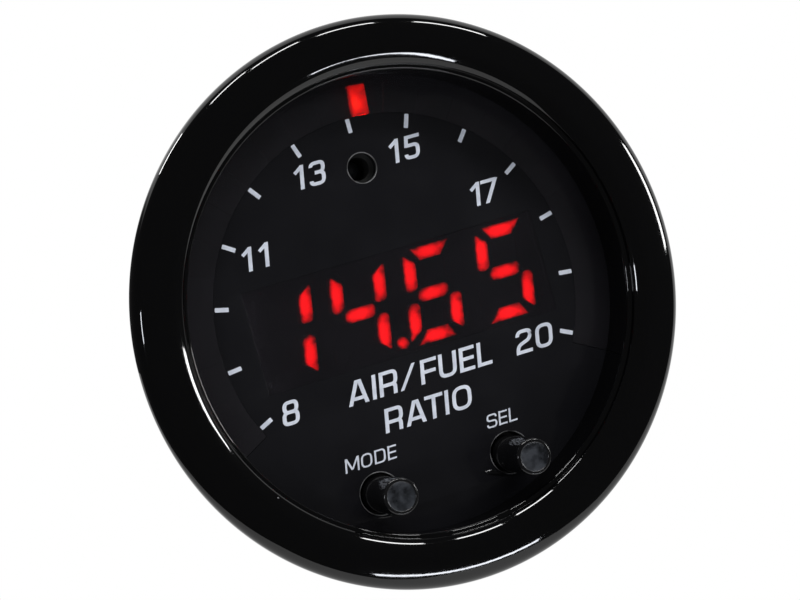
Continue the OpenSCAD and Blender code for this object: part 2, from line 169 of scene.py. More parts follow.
# %% Shared effect: moulded skin
skin_group, g_in, g_out = new_group(
    "moulded skin", {"Pebbles per metre": 9000.0, "Clouds per metre": 220.0}, ["Height", "Cloud"])
g_at = skin_group.nodes.new("ShaderNodeTexCoord")
g_pebble = add_node(skin_group, "ShaderNodeTexNoise", Detail=3.0, Roughness=0.55)
g_cloud = add_node(skin_group, "ShaderNodeTexNoise", Detail=2.0, Roughness=0.5)
for node, key in ((g_pebble, "Pebbles per metre"), (g_cloud, "Clouds per metre")):
    wire(skin_group, (g_at, "Object", node, "Vector"), (g_in, key, node, "Scale"))
wire(skin_group, (g_pebble, "Fac", g_out, "Height"))
g_spread = add_node(skin_group, "ShaderNodeMapRange", From_Min=0.35, From_Max=0.65)
wire(skin_group, (g_cloud, "Fac", g_spread, "Value"), (g_spread, "Result", g_out, "Cloud"))
print("group:", skin_group.name)

# %% [markdown]
# Gloss black shows every speck. The photograph has a few pale dots of dust on the bezel. Voronoi cells
# make good dust: each cell gets a random number, and only the few cells above a limit show a dot, of a
# radius that is a small share of the cell.

# %% Shared effect: dust
dust_group, g_in, g_out = new_group(
    "dust", {"Cells per metre": 420.0, "Share of cells": 0.1, "Dot size": 0.09}, ["Mask"])
g_at = dust_group.nodes.new("ShaderNodeTexCoord")
g_cell = dust_group.nodes.new("ShaderNodeTexVoronoi")
wire(dust_group, (g_at, "Object", g_cell, "Vector"), (g_in, "Cells per metre", g_cell, "Scale"))
g_pick = dust_group.nodes.new("ShaderNodeSeparateColor")
wire(dust_group, (g_cell, "Color", g_pick, "Color"))
g_few = add_node(dust_group, "ShaderNodeMath", {"operation": "LESS_THAN"})
wire(dust_group, (g_pick, "Red", g_few, 0), (g_in, "Share of cells", g_few, 1))
g_dot = add_node(dust_group, "ShaderNodeMath", {"operation": "LESS_THAN"})
wire(dust_group, (g_cell, "Distance", g_dot, 0), (g_in, "Dot size", g_dot, 1))
g_both = add_node(dust_group, "ShaderNodeMath", {"operation": "MULTIPLY"})
wire(dust_group, (g_few, 0, g_both, 0), (g_dot, 0, g_both, 1), (g_both, 0, g_out, "Mask"))
print("group:", dust_group.name)

# %% [markdown]
# Plated steel and brass show fine marks that run one way, from drawing and turning. A noise that is
# stretched along one axis gives them: the coordinates are scaled unevenly before the noise reads them.

# %% Shared effect: drawn metal
drawn_group, g_in, g_out = new_group(
    "drawn metal", {"Lines per metre": 12000.0, "Stretch": 0.03}, ["Height", "Shade"])
g_at = drawn_group.nodes.new("ShaderNodeTexCoord")
g_split = drawn_group.nodes.new("ShaderNodeSeparateXYZ")
g_long = add_node(drawn_group, "ShaderNodeMath", {"operation": "MULTIPLY"})
g_join = drawn_group.nodes.new("ShaderNodeCombineXYZ")
g_lines = add_node(drawn_group, "ShaderNodeTexNoise", Detail=2.0)
wire(drawn_group,
     (g_at, "Object", g_split, 0), (g_split, "Y", g_long, 0), (g_in, "Stretch", g_long, 1),
     (g_split, "X", g_join, "X"), (g_long, 0, g_join, "Y"), (g_split, "Z", g_join, "Z"),
     (g_join, 0, g_lines, "Vector"), (g_in, "Lines per metre", g_lines, "Scale"))
for key in ("Height", "Shade"):
    wire(drawn_group, (g_lines, "Fac", g_out, key))
print("group:", drawn_group.name)

# %% [markdown]
# Most of the gauge is black plastic of one kind or another, so one recipe serves for all: two close
# shades and two roughnesses that the clouds mix, and the pebble as a bump. The bump's distance is in
# metres, so a hundredth of a millimetre is 0.00001.

# %% Recipe for plastics
def plastic(name, dark, light, smooth, rough, pebbles=9000.0, depth=0.00001, clouds=220.0):
    """A moulded plastic. dark and light are its two shades, smooth and rough its two roughnesses."""
    material, tree, body = new_material(name)
    skin = use_group(tree, skin_group, Pebbles_per_metre=pebbles, Clouds_per_metre=clouds)
    cover(tree, body, skin, "Cloud", dark, light, smooth, rough, depth)
    return material


cup_black = plastic("cup_black", (0.012, 0.012, 0.013), (0.020, 0.020, 0.021), 0.42, 0.55, 6500.0, 0.00003)
header_black = plastic("header_black", (0.014, 0.014, 0.015), (0.024, 0.024, 0.025), 0.32, 0.45)
baffle_black = plastic("baffle_black", (0.004, 0.004, 0.0045), (0.007, 0.007, 0.007), 0.55, 0.7)
display_body = plastic("display_body", (0.006, 0.006, 0.007), (0.011, 0.011, 0.012), 0.4, 0.55)
switch_black = plastic("switch_black", (0.010, 0.010, 0.011), (0.018, 0.018, 0.018), 0.4, 0.55)
plunger_grey = plastic("plunger_grey", (0.05, 0.05, 0.055), (0.075, 0.075, 0.08), 0.35, 0.45)
sleeve_rubber = plastic("sleeve_rubber", (0.006, 0.006, 0.006), (0.012, 0.012, 0.012), 0.6, 0.75)
chip_black = plastic("chip_black", (0.015, 0.015, 0.016), (0.028, 0.028, 0.03), 0.5, 0.62)
capacitor_ochre = plastic("capacitor_ochre", (0.36, 0.19, 0.04), (0.46, 0.26, 0.06), 0.4, 0.5)
lamp_white = plastic("lamp_white", (0.52, 0.48, 0.38), (0.62, 0.58, 0.46), 0.3, 0.4)
print("plastics:", sum(m.use_nodes for m in bpy.data.materials))

# %% [markdown]
# The bezel is taken to be metal under thick black lacquer, polished like a mirror. Its colour is almost
# nothing; what the eye sees is reflection. A very low noise bump gives the lacquer its slight orange peel,
# and the dust group adds pale, rougher dots.

# %% Bezel lacquer
bezel_black, tree, body = new_material("bezel_black")
body.inputs["IOR"].default_value = 1.52
peel = use_group(tree, skin_group, Pebbles_per_metre=900.0, Clouds_per_metre=120.0)
specks = use_group(tree, dust_group, Cells_per_metre=300.0, Share_of_cells=0.035, Dot_size=0.035)
dusty = two_colours(tree, (0.0012, 0.0012, 0.0014), (0.16, 0.16, 0.17))
gloss = add_node(tree, "ShaderNodeMapRange", To_Min=0.025, To_Max=0.05)
dull = add_node(tree, "ShaderNodeMix", {"data_type": "FLOAT"})
dull.inputs["B"].default_value = 0.7
bump = add_node(tree, "ShaderNodeBump", Strength=1.0, Distance=0.000002)
wire(tree,
     (specks, "Mask", dusty, "Factor"), (dusty, "Result", body, "Base Color"),
     (peel, "Cloud", gloss, "Value"), (gloss, "Result", dull, "A"), (specks, "Mask", dull, "Factor"),
     (dull, "Result", body, "Roughness"), (peel, "Height", bump, "Height"),
     (bump, "Normal", body, "Normal"))
print("made", bezel_black.name)

# %% [markdown]
# The dial is a black print under a smooth film. It is a little lighter than the bezel and mirrors the
# bezel's wall softly, so its roughness is higher. A faint unevenness and a few specks keep it from
# looking drawn.

# %% Dial print
FILM_BUMP = 0.0000015
dial_black, tree, body = new_material("dial_black")
film = use_group(tree, skin_group, Pebbles_per_metre=14000.0, Clouds_per_metre=160.0)
specks = use_group(tree, dust_group, Cells_per_metre=330.0, Share_of_cells=0.03, Dot_size=0.03)
body.inputs["Specular IOR Level"].default_value = 0.42
shades = cover(tree, body, film, "Cloud", (0.0070, 0.0070, 0.0086), (0.0086, 0.0086, 0.0104), 0.15, 0.19,
               FILM_BUMP)
dusty = add_node(tree, "ShaderNodeMix", {"data_type": "RGBA"})
dusty.inputs["B"].default_value = (0.05, 0.05, 0.05, 1)
wire(tree,
     (shades, "Result", dusty, "A"), (specks, "Mask", dusty, "Factor"),
     (dusty, "Result", body, "Base Color"))
print("made", dial_black.name)

# %% [markdown]
# The marks are screen printed: a thin layer of bluish white ink, matt, with the least bit of grain where
# the mesh of the screen left it thinner.

# %% Dial ink
dial_ink = plastic("dial_ink", (0.60, 0.64, 0.73), (0.72, 0.76, 0.85), 0.42, 0.5, 16000.0, 0.000004, 900.0)
print("made", dial_ink.name)

# %% [markdown]
# The windows are smoked plastic, nearly as black as the dial until something behind them lights up. It
# is transmission with a very dark tint, and the small part that does not pass light scatters it, as the
# print round it does. Slight roughness blurs the lit bars behind, and that is the soft red edge they have.

# %% Smoked plastic
def smoked_window(name, thin, dense):
    """Tinted clear plastic. thin and dense are the two tints that the film's unevenness mixes."""
    material, tree, body = new_material(name)
    body.inputs["Transmission Weight"].default_value = 0.86
    body.inputs["IOR"].default_value = 1.49
    film = use_group(tree, skin_group, Pebbles_per_metre=14000.0, Clouds_per_metre=160.0)
    cover(tree, body, film, "Cloud", dense, thin, 0.13, 0.16, FILM_BUMP)
    return material


tinted_lens = smoked_window("tinted_lens", (0.054, 0.050, 0.063), (0.045, 0.042, 0.053))
ring_lens = smoked_window("ring_lens", (0.082, 0.078, 0.094), (0.070, 0.067, 0.080))
print("made", tinted_lens.name, ring_lens.name)

# %% [markdown]
# A lit bar is a block of milky red plastic with a small lamp behind it: hot orange red where the lamp
# is, deeper red towards the ends and sides. The mesh of each bar carries that as a number on its points,
# called glow, and a ramp turns the number into the light's colour.

# %% Lit and unlit bars
def lit_red(name, strength, rim, flank, core):
    """Red plastic lit from behind. rim, flank and core are its colours from the edge to the lamp; its
    sides are nearly dark."""
    material, tree, body = new_material(name)
    body.inputs["Emission Strength"].default_value = strength
    body.inputs["Roughness"].default_value = 0.5
    glow = add_node(tree, "ShaderNodeAttribute", {"attribute_name": "glow"})
    grain = use_group(tree, skin_group, Pebbles_per_metre=2600.0, Clouds_per_metre=1500.0)
    shift = add_node(tree, "ShaderNodeMapRange", To_Min=-0.07, To_Max=0.07)
    total = add_node(tree, "ShaderNodeMath", {"operation": "ADD"})
    ramp = tree.nodes.new("ShaderNodeValToRGB")
    ramp.color_ramp.elements[0].color = (0.004, 0.0004, 0.0004, 1)
    ramp.color_ramp.elements[1].color = (*core, 1)
    for position, colour in ((0.04, rim), (0.45, flank)):
        ramp.color_ramp.elements.new(position).color = (*colour, 1)
    wire(tree,
         (grain, "Cloud", shift, "Value"), (glow, "Fac", total, 0), (shift, "Result", total, 1),
         (total, 0, ramp, "Fac"), (ramp, "Color", body, "Emission Color"),
         (ramp, "Color", body, "Base Color"))
    return material


lit_segment = lit_red("lit_segment", 34.0, (0.05, 0.0004, 0.0005), (0.75, 0.003, 0.004), (1.0, 0.006, 0.007))
lit_bar = lit_red("lit_bar", 26.0, (0.16, 0.0013, 0.0009), (0.55, 0.004, 0.002), (1.0, 0.014, 0.004))
red_light_bar = plastic("red_light_bar", (0.05, 0.006, 0.006), (0.07, 0.009, 0.008), 0.45, 0.55)
dark_segment = plastic("dark_segment", (0.05, 0.008, 0.008), (0.07, 0.012, 0.011), 0.45, 0.55)
print("made", lit_segment.name, lit_bar.name)

# %% [markdown]
# A button's stem is glossy black. Its tip is duller and cloudy, in patches, inside the bright rim, and the
# patches are a lighter bluish grey: that grey is a painted reflection of the mottled sheen on the tip.

# %% Button plastics
button_black = plastic("button_black", (0.004, 0.004, 0.0045), (0.007, 0.007, 0.0075), 0.08, 0.14,
                       7000.0, 0.000004)
# The lighter bluish grey of the tip's face is a painted reflection, not the plastic's own colour.
button_face_painted_sheen = plastic("button_face_painted_sheen", (0.006, 0.007, 0.009), (0.028, 0.032, 0.040), 0.26, 0.42,
                      3000.0, 0.00001, 900.0)
print("made", button_black.name, button_face_painted_sheen.name)

# %% [markdown]
# Metals take the drawn lines as a bump and let them mix two shades. The same recipe serves zinc plated
# steel, brass pins and the crystal's can.

# %% Recipe for metals
def metal(name, dark, light, roughness, lines=12000.0, depth=0.000004):
    """A drawn or plated metal."""
    material, tree, body = new_material(name)
    body.inputs["Metallic"].default_value = 1.0
    drawn = use_group(tree, drawn_group, Lines_per_metre=lines)
    cover(tree, body, drawn, "Shade", dark, light, roughness * 0.8, roughness * 1.25, depth)
    return material


bright_steel = metal("bright_steel", (0.44, 0.45, 0.46), (0.62, 0.63, 0.64), 0.3)
pin_brass = metal("pin_brass", (0.60, 0.44, 0.17), (0.78, 0.60, 0.28), 0.25)
crystal_can = metal("crystal_can", (0.48, 0.48, 0.49), (0.60, 0.60, 0.61), 0.32)
print("made", bright_steel.name, pin_brass.name, crystal_can.name)

# %% [markdown]
# The circuit board has copper tracks under green resist. A brick pattern of thin lines, at the pitch of
# real tracks, mixes a lighter green in and raises the surface by a few hundredths of a millimetre.

# %% Board
board_green, tree, body = new_material("board_green")
at = tree.nodes.new("ShaderNodeTexCoord")
turn = add_node(tree, "ShaderNodeMapping", Rotation=(math.pi / 2, 0, 0))
tracks = add_node(tree, "ShaderNodeTexBrick", Scale=260.0, Mortar_Size=0.05, Mortar_Smooth=0.2)
tracks.inputs["Color1"].default_value = (0.010, 0.075, 0.028, 1)
tracks.inputs["Color2"].default_value = (0.012, 0.085, 0.032, 1)
tracks.inputs["Mortar"].default_value = (0.030, 0.150, 0.060, 1)
bump = add_node(tree, "ShaderNodeBump", Strength=1.0, Distance=0.00003)
resist = use_group(tree, skin_group, Clouds_per_metre=140.0)
gloss = add_node(tree, "ShaderNodeMapRange", To_Min=0.28, To_Max=0.4)
wire(tree,
     (at, "Object", turn, "Vector"), (turn, "Vector", tracks, "Vector"),
     (tracks, "Color", body, "Base Color"), (resist, "Cloud", gloss, "Value"),
     (gloss, "Result", body, "Roughness"), (tracks, "Fac", bump, "Height"),
     (bump, "Normal", body, "Normal"))
print("made", board_green.name)

# %% [markdown]
# The light sensor at the bottom of its tube is a drop of dark clear resin: mostly transmission with a
# tint, so that it shows one small highlight.

# %% Sensor resin
sensor_resin, tree, body = new_material("sensor_resin")
body.inputs["Transmission Weight"].default_value = 0.5
resin = use_group(tree, skin_group, Clouds_per_metre=700.0)
shades = two_colours(tree, (0.03, 0.032, 0.04), (0.05, 0.052, 0.06))
gloss = add_node(tree, "ShaderNodeMapRange", To_Min=0.08, To_Max=0.14)
wire(tree,
     (resin, "Cloud", shades, "Factor"), (shades, "Result", body, "Base Color"),
     (resin, "Cloud", gloss, "Value"), (gloss, "Result", body, "Roughness"))
print("made", sensor_resin.name)

# %% [markdown]
# Every CAD part that stays in view, or inside the cup, takes one of these finishes. Its mesh is left
# alone: a material can go straight into the object's slot.

# %% Finish the CAD parts
CAD_FINISHES = {
    "light_baffle": baffle_black, "ring_leds": lamp_white, "display_module": display_body,
    "main_board": board_green, "board_screws": bright_steel, "mode_plunger": plunger_grey,
    "select_plunger": plunger_grey, "mode_switch": switch_black, "select_switch": switch_black,
    "sensor_tube": sleeve_rubber, "light_sensor": sensor_resin, "controller_chip": chip_black,
    "voltage_regulator": chip_black, "crystal": crystal_can, "filter_capacitors": capacitor_ochre,
    "power_pins": pin_brass, "signal_pins": pin_brass,
}
for node_name, material in CAD_FINISHES.items():
    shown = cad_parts[node_name]
    shown.data.materials.clear()
    shown.data.materials.append(material)
print("finished", len(CAD_FINISHES), "CAD parts")

# %% [markdown]
# Now the pieces. Each is drawn in dial millimetres as a bmesh, turned into the world by the one matrix,
# shaded smooth except at real edges, and set to ride on the body that carries it.

# %% Make a piece from a bmesh
def make_piece(name, mesh_maker, body_name, material, hides=(), angle=30):
    """Turns a bmesh in dial millimetres into an object that rides on a body."""
    mesh = bpy.data.meshes.new(name)
    bmesh.ops.recalc_face_normals(mesh_maker, faces=mesh_maker.faces)
    mesh_maker.transform(DIAL_TO_WORLD)
    mesh_maker.to_mesh(mesh)
    mesh_maker.free()
    mesh.shade_smooth()
    mesh.set_sharp_from_angle(angle=math.radians(angle))
    for item in (material if isinstance(material, (list, tuple)) else [material]):
        mesh.materials.append(item)
    piece = bpy.data.objects.new(name, mesh)
    bpy.context.scene.collection.objects.link(piece)
    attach(piece, body_name)
    if hides:
        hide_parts(*hides)
    print(name, len(mesh.vertices), "points")
    return piece


# %% [markdown]
# Many parts are turned: bezel, buttons, cup, hole rims. A section is a list of points (radius, height),
# and a lathe joins copies of it round the axis. Blender has Spin and Screw for this, but a short loop of
# our own leaves the points in a known order and makes a closed skin that meets itself exactly. Rings of
# points come up again in the bars, the studs and the nuts, so joining two of them is a helper too.

# %% Lathe and arcs
def arc(x, z, radius, start, end, steps=10):
    """Points of an arc about (x, z), angles in degrees from the x axis."""
    angles = [math.radians(start + (end - start) * i / steps) for i in range(steps + 1)]
    return [(x + radius * math.cos(a), z + radius * math.sin(a)) for a in angles]


def join_rings(bm, first, second):
    """Adds the faces between two closed rings of points."""
    for i in range(len(first)):
        j = (i + 1) % len(first)
        bm.faces.new((first[i], first[j], second[j], second[i]))


def turn_section(bm, section, steps=192, centre=(0, 0), material_of=None):
    """Adds a closed section turned about an axis through centre; points on the axis become one vertex."""
    rings = []
    for radius, z in section:
        if radius < 1e-6:
            rings.append([bm.verts.new((centre[0], centre[1], z))])
        else:
            rings.append([bm.verts.new((centre[0] + radius * math.cos(2 * math.pi * k / steps),
                                        centre[1] + radius * math.sin(2 * math.pi * k / steps), z))
                          for k in range(steps)])
    closed = section[0][0] > 1e-6 or section[-1][0] > 1e-6
    for i in range(len(rings) if closed else len(rings) - 1):
        first, second = rings[i], rings[(i + 1) % len(rings)]
        for k in range(steps):
            corners = [first[k % len(first)], first[(k + 1) % len(first)],
                       second[(k + 1) % len(second)], second[k % len(second)]]
            corners = list(dict.fromkeys(corners))
            if len(corners) > 2:
                face = bm.faces.new(corners)
                if material_of:
                    face.material_index = material_of(section[i], section[(i + 1) % len(section)])
    return bm


print("a quarter arc has", len(arc(0, 0, 1, 0, 90)), "points")

# %% [markdown]
# The bezel's section, from the collar inside the cup: the groove for the cup's edge, the flat seat on
# the panel, a full round outer edge and a front that rises gently inwards to a crest. Inside the crest the
# metal slopes down, slowly at first, curls over ever more tightly and drops to a narrow ledge with a fine
# rounding. The slope and the ledge's edge carry the pairs of bright lines in the photograph. A line lies
# where the surface leans just enough to mirror a lamp, so its place tells how steep the metal is there.

# %% Bezel
OPEN_R, COLLAR_R, CUP_R, BARREL_R, BEZEL_R = 24.18, 25.15, 25.2, 26.0, 30.0
DIAL_Z = -2.5
DOME_R, EDGE_R, CREST_R, CURL_R, HOOK_R, LEDGE_R, SEAT_R = 13.7, 1.5, 1.6, 2.0, 0.15, 0.25, 1.4
EDGE_END, CREST_END, CURL_END = 72, 112.5, 133
edge_x, edge_z = BEZEL_R - EDGE_R, 1.6
dome_x = edge_x + (EDGE_R - DOME_R) * math.cos(math.radians(EDGE_END))
dome_z = edge_z + (EDGE_R - DOME_R) * math.sin(math.radians(EDGE_END))
crest_x = 26.34
crest_lean = math.asin((crest_x - dome_x) / (DOME_R - CREST_R))
crest_z = dome_z + (DOME_R - CREST_R) * math.cos(crest_lean)
slope_x, slope_z = arc(crest_x, crest_z, CREST_R, CREST_END, CREST_END, 1)[0]
curl_top_x, slope_angle = 25.32, math.radians(23.3)
curl_top_z = slope_z - (slope_x - curl_top_x) * math.tan(slope_angle)
curl_x, curl_z = curl_top_x + CURL_R * math.sin(slope_angle), curl_top_z - CURL_R * math.cos(slope_angle)
hook_x, hook_z = arc(curl_x, curl_z, CURL_R - HOOK_R, CURL_END, CURL_END, 1)[0]
ledge_x, ledge_z = OPEN_R + LEDGE_R, 2.3
bezel_section = (
    [(OPEN_R, DIAL_Z), (COLLAR_R, DIAL_Z), (COLLAR_R, 0.4), (BARREL_R + 0.05, 0.4), (BARREL_R + 0.05, 0)]
    + arc(BEZEL_R - SEAT_R, SEAT_R, SEAT_R, -90, 0, 12)
    + arc(edge_x, edge_z, EDGE_R, 0, EDGE_END, 24)
    + arc(dome_x, dome_z, DOME_R, EDGE_END, 90 - math.degrees(crest_lean), 12)[1:]
    + arc(crest_x, crest_z, CREST_R, 90 - math.degrees(crest_lean), CREST_END, 16)[1:]
    + arc(curl_x, curl_z, CURL_R, 90 + math.degrees(slope_angle), CURL_END, 12)
    + arc(hook_x, hook_z, HOOK_R, CURL_END, 175, 6)[1:]
    + [(hook_x - 0.16, ledge_z + 0.02), (hook_x - 0.19, ledge_z)]
    + arc(ledge_x, ledge_z - LEDGE_R, LEDGE_R, 90, 180, 12)
)
bm = turn_section(bmesh.new(), bezel_section, 360)
make_piece("bezel_ring", bm, "gauge", bezel_black, ["bezel"], angle=35)
print("crest of the bezel", round(max(z for r, z in bezel_section), 2), "mm")

# %% [markdown]
# The dial plate, the windows and the cup's back are flat plates with holes. A 2D curve does this well: it
# fills between closed outlines, gives thickness, and rounds the edges by its bevel. It is then turned into a
# mesh, like the rest.

# %% Plates with holes
def circle(x, y, radius, start=0, end=360, steps=96):
    """Points of a circle, or of an arc of it, about (x, y)."""
    points = arc(x, y, radius, start, end, steps)
    return points[:-1] if abs(end - start) >= 360 else points


def rounded_box(x, y, wide, high, radius, steps=6):
    """Outline of a box with rounded corners, about (x, y)."""
    points = []
    for sx, sy, first in ((1, 1, 0), (-1, 1, 90), (-1, -1, 180), (1, -1, 270)):
        cx, cy = x + sx * (wide / 2 - radius), y + sy * (high / 2 - radius)
        points += circle(cx, cy, radius, first, first + 90, steps)
    return points


def plate(name, outer, holes, low, high, edge, body_name, material, hides=(), angle=30):
    """A plate between two heights, with its edges rounded by edge."""
    curve = bpy.data.curves.new(name, "CURVE")
    curve.dimensions = "2D"
    curve.fill_mode = "BOTH"
    curve.extrude = (high - low) / 2 - edge
    curve.bevel_depth = edge
    curve.bevel_resolution = 2
    curve.offset = -edge
    for points in [outer] + [hole[::-1] for hole in holes]:
        spline = curve.splines.new("POLY")
        spline.points.add(len(points) - 1)
        for point, (x, y) in zip(spline.points, points):
            point.co = (x, y, 0, 1)
        spline.use_cyclic_u = True
    holder = bpy.data.objects.new(name + "_curve", curve)
    bpy.context.scene.collection.objects.link(holder)
    bpy.context.view_layer.update()
    made = bpy.data.meshes.new_from_object(holder.evaluated_get(bpy.context.evaluated_depsgraph_get()))
    bm = bmesh.new()
    bm.from_mesh(made)
    bmesh.ops.remove_doubles(bm, verts=bm.verts, dist=0.0005)
    bmesh.ops.translate(bm, verts=bm.verts, vec=(0, 0, (low + high) / 2))
    bpy.data.objects.remove(holder)
    bpy.data.curves.remove(curve)
    bpy.data.meshes.remove(made)
    return make_piece(name, bm, body_name, material, hides, angle)


print("a box outline has", len(rounded_box(0, 0, 2, 1, 0.1)), "points")

# %% [markdown]
# The dial plate leaves out the arc over the light bars, the display's window, the sensor's hole and the
# two button holes. Its outline runs round the bottom at the full radius and back over the top at the inner
# radius of the arc window, which sweeps 236 degrees.

# %% Dial plate
ARC_R, ARC_HALF, FACE_R, DIAL_T, FILM_T = 20.15, 118.0, 25.0, 1.0, 0.3
BUTTON_X, BUTTON_Y, SENSOR_X, SENSOR_Y = 7.6, -18.7, 0.17, 14.7
WINDOW_X, WINDOW_W, WINDOW_H = 0.4, 33.5, 11.0
dial_outline = (circle(0, 0, FACE_R, 90 + ARC_HALF, 450 - ARC_HALF, 80)
                + circle(0, 0, ARC_R, 90 - ARC_HALF, 90 + ARC_HALF, 180))
dial_holes = [
    rounded_box(WINDOW_X, 0, WINDOW_W, WINDOW_H, 0.15),
    circle(SENSOR_X, SENSOR_Y, 1.6),
    circle(-BUTTON_X, BUTTON_Y, 2.25),
    circle(BUTTON_X, BUTTON_Y, 2.25),
]
plate("dial_plate", dial_outline, dial_holes, DIAL_Z - DIAL_T, DIAL_Z, 0.012,
      "gauge", dial_black, ["faceplate"])

# %% [markdown]
# The two smoked windows are a thin film, flush with the dial, and fill their openings with a hair's gap:
# that is the faint line in the photograph between window and print. The film is thin because the lit bars
# look as if they lay in the dial itself. Under thick glass they would seem to sink to one side.

# %% Smoked windows
plate("display_film", rounded_box(WINDOW_X, 0, WINDOW_W - 0.05, WINDOW_H - 0.05, 0.12), [],
      DIAL_Z - FILM_T, DIAL_Z, 0.006, "gauge", tinted_lens, ["display_window"])
arc_outline = (circle(0, 0, FACE_R, 90 - ARC_HALF + 0.15, 90 + ARC_HALF - 0.15, 200)
               + circle(0, 0, ARC_R + 0.025, 90 + ARC_HALF - 0.15, 90 - ARC_HALF + 0.15, 180))
plate("ring_film", arc_outline, [], DIAL_Z - FILM_T, DIAL_Z, 0.006,
      "gauge", ring_lens, ["ring_window"])

# %% [markdown]
# The scale has 13 ticks, from 8 at the lower left to 20 at the lower right, with 14 at the top. Each is
# a short bar along the radius with slightly rounded corners, as thick as a layer of ink.

# %% Scale ticks
INK_LOW, INK_HIGH = DIAL_Z - 0.01, DIAL_Z + 0.025


def add_prism(bm, outline, low, high):
    """Adds a flat shape with a given outline, raised from low to high."""
    bottom = [bm.verts.new((x, y, low)) for x, y in outline]
    top = [bm.verts.new((x, y, high)) for x, y in outline]
    bm.faces.new(top)
    bm.faces.new(bottom[::-1])
    join_rings(bm, bottom, top)


def turned(points, turn):
    """The points, turned about the dial's middle by an angle in radians."""
    c, s = math.cos(turn), math.sin(turn)
    return [(x * c - y * s, x * s + y * c) for x, y in points]


TICKS, TICK_STEP, TICK_R, TICK_LONG, TICK_WIDE = 13, 230 / 12, 19.3, 1.5, 0.46
bm = bmesh.new()
for i in range(TICKS):
    turn = math.radians(90 + (i - (TICKS - 1) / 2) * TICK_STEP)
    outline = turned(rounded_box(TICK_R, 0, TICK_LONG, TICK_WIDE, 0.07, 3), turn)
    add_prism(bm, outline, INK_LOW, INK_HIGH)
make_piece("scale_ticks", bm, "gauge", dial_ink)

# %% [markdown]
# The numbers and the plain function words are drawn here as strokes, in a squarish slanted letter of our
# own. A text object would need a font file. Each letter is a few lines on a box one unit high, and a stroke
# has one width across and another up and down, as in most sign lettering.

# %% Strokes for letters
STROKE_X, STROKE_Y = 0.172, 0.145


def add_stroke(bm, path, closed, place, high, slant, thin=1.0, level=False, layer=0):
    """Adds one stroke. path is in letter units; level cuts both ends flat along the line of writing.

    A stroke with a higher layer lies a thousandth of a millimetre higher, and each stroke rises a little
    along its way, so no two faces share a plane.
    """
    count = len(path)
    surface = INK_HIGH + 0.001 * layer
    left, right_side = [], []
    for i, (x, y) in enumerate(path):
        before = path[i - 1] if (closed or i > 0) else None
        after = path[(i + 1) % count] if (closed or i < count - 1) else None
        d1 = (Vector((x, y)) - Vector(before)).normalized() if before else None
        d2 = (Vector(after) - Vector((x, y))).normalized() if after else None
        d1, d2 = d1 or d2, d2 or d1
        way = (d1 + d2).normalized()
        across = Vector((-way.y, way.x))
        reach = min(1.6, 1 / max(0.35, across.dot(Vector((-d1.y, d1.x)))))
        step = Vector((across.x * STROKE_X, across.y * STROKE_Y)) * (reach * thin / 2)
        if level and (before is None or after is None):
            step = Vector((-STROKE_X * thin / 2 / abs(way.y), 0)) * (1 if way.y > 0 else -1)
        left.append((x + step.x, y + step.y))
        right_side.append((x - step.x, y - step.y))

    def spot(point, z):
        return bm.verts.new((place[0] + (point[0] + point[1] * slant) * high, place[1] + point[1] * high, z))
    rows = [[spot(p, z + 0.0009 * i / count if z > INK_LOW else z) for i, p in enumerate(side)] for side, z in
            ((left, INK_LOW), (left, surface), (right_side, surface), (right_side, INK_LOW))]
    for i in range(count if closed else count - 1):
        j = (i + 1) % count
        for a, b in ((0, 1), (1, 2), (2, 3), (3, 0)):
            bm.faces.new((rows[a][i], rows[a][j], rows[b][j], rows[b][i]))
    if not closed:
        for i in (0, count - 1):
            bm.faces.new([row[i] for row in rows])


def bend(points, radius, closed=False, steps=6):
    """A path with its corners rounded; a corner given with a third value uses that radius."""
    count = len(points)
    path = []
    for i, item in enumerate(points):
        corner = Vector(item[:2])
        r = item[2] if len(item) > 2 else radius
        before, after = Vector(points[i - 1][:2]), Vector(points[(i + 1) % count][:2])
        if (not closed and i in (0, count - 1)) or r == 0:
            path.append((corner.x, corner.y))
            continue
        a = (before - corner).normalized() * min(r, 0.96 * (before - corner).length)
        b = (after - corner).normalized() * min(r, 0.96 * (after - corner).length)
        for k in range(steps + 1):
            t = k / steps
            spot = corner + a * (1 - t) ** 2 + b * t ** 2
            path.append((spot.x, spot.y))
    return path


print("a rounded corner has", len(bend([(0, 0), (1, 0), (1, 1)], 0.3)) - 2, "points")

# %% [markdown]
# Each letter is a width and a list of strokes. The first value of a stroke tells whether it is a loop
# ("loop"), a line with ends cut across ("line"), or a line with ends cut level ("level").

# %% The letters
hx, hy = STROKE_X / 2, STROKE_Y / 2
TOP, LOW = 1 - hy, hy


def loop(left, low, right_x, top, radius):
    """A rounded rectangle as a closed stroke."""
    return ("loop", bend([(left, low), (right_x, low), (right_x, top), (left, top)], radius, True))


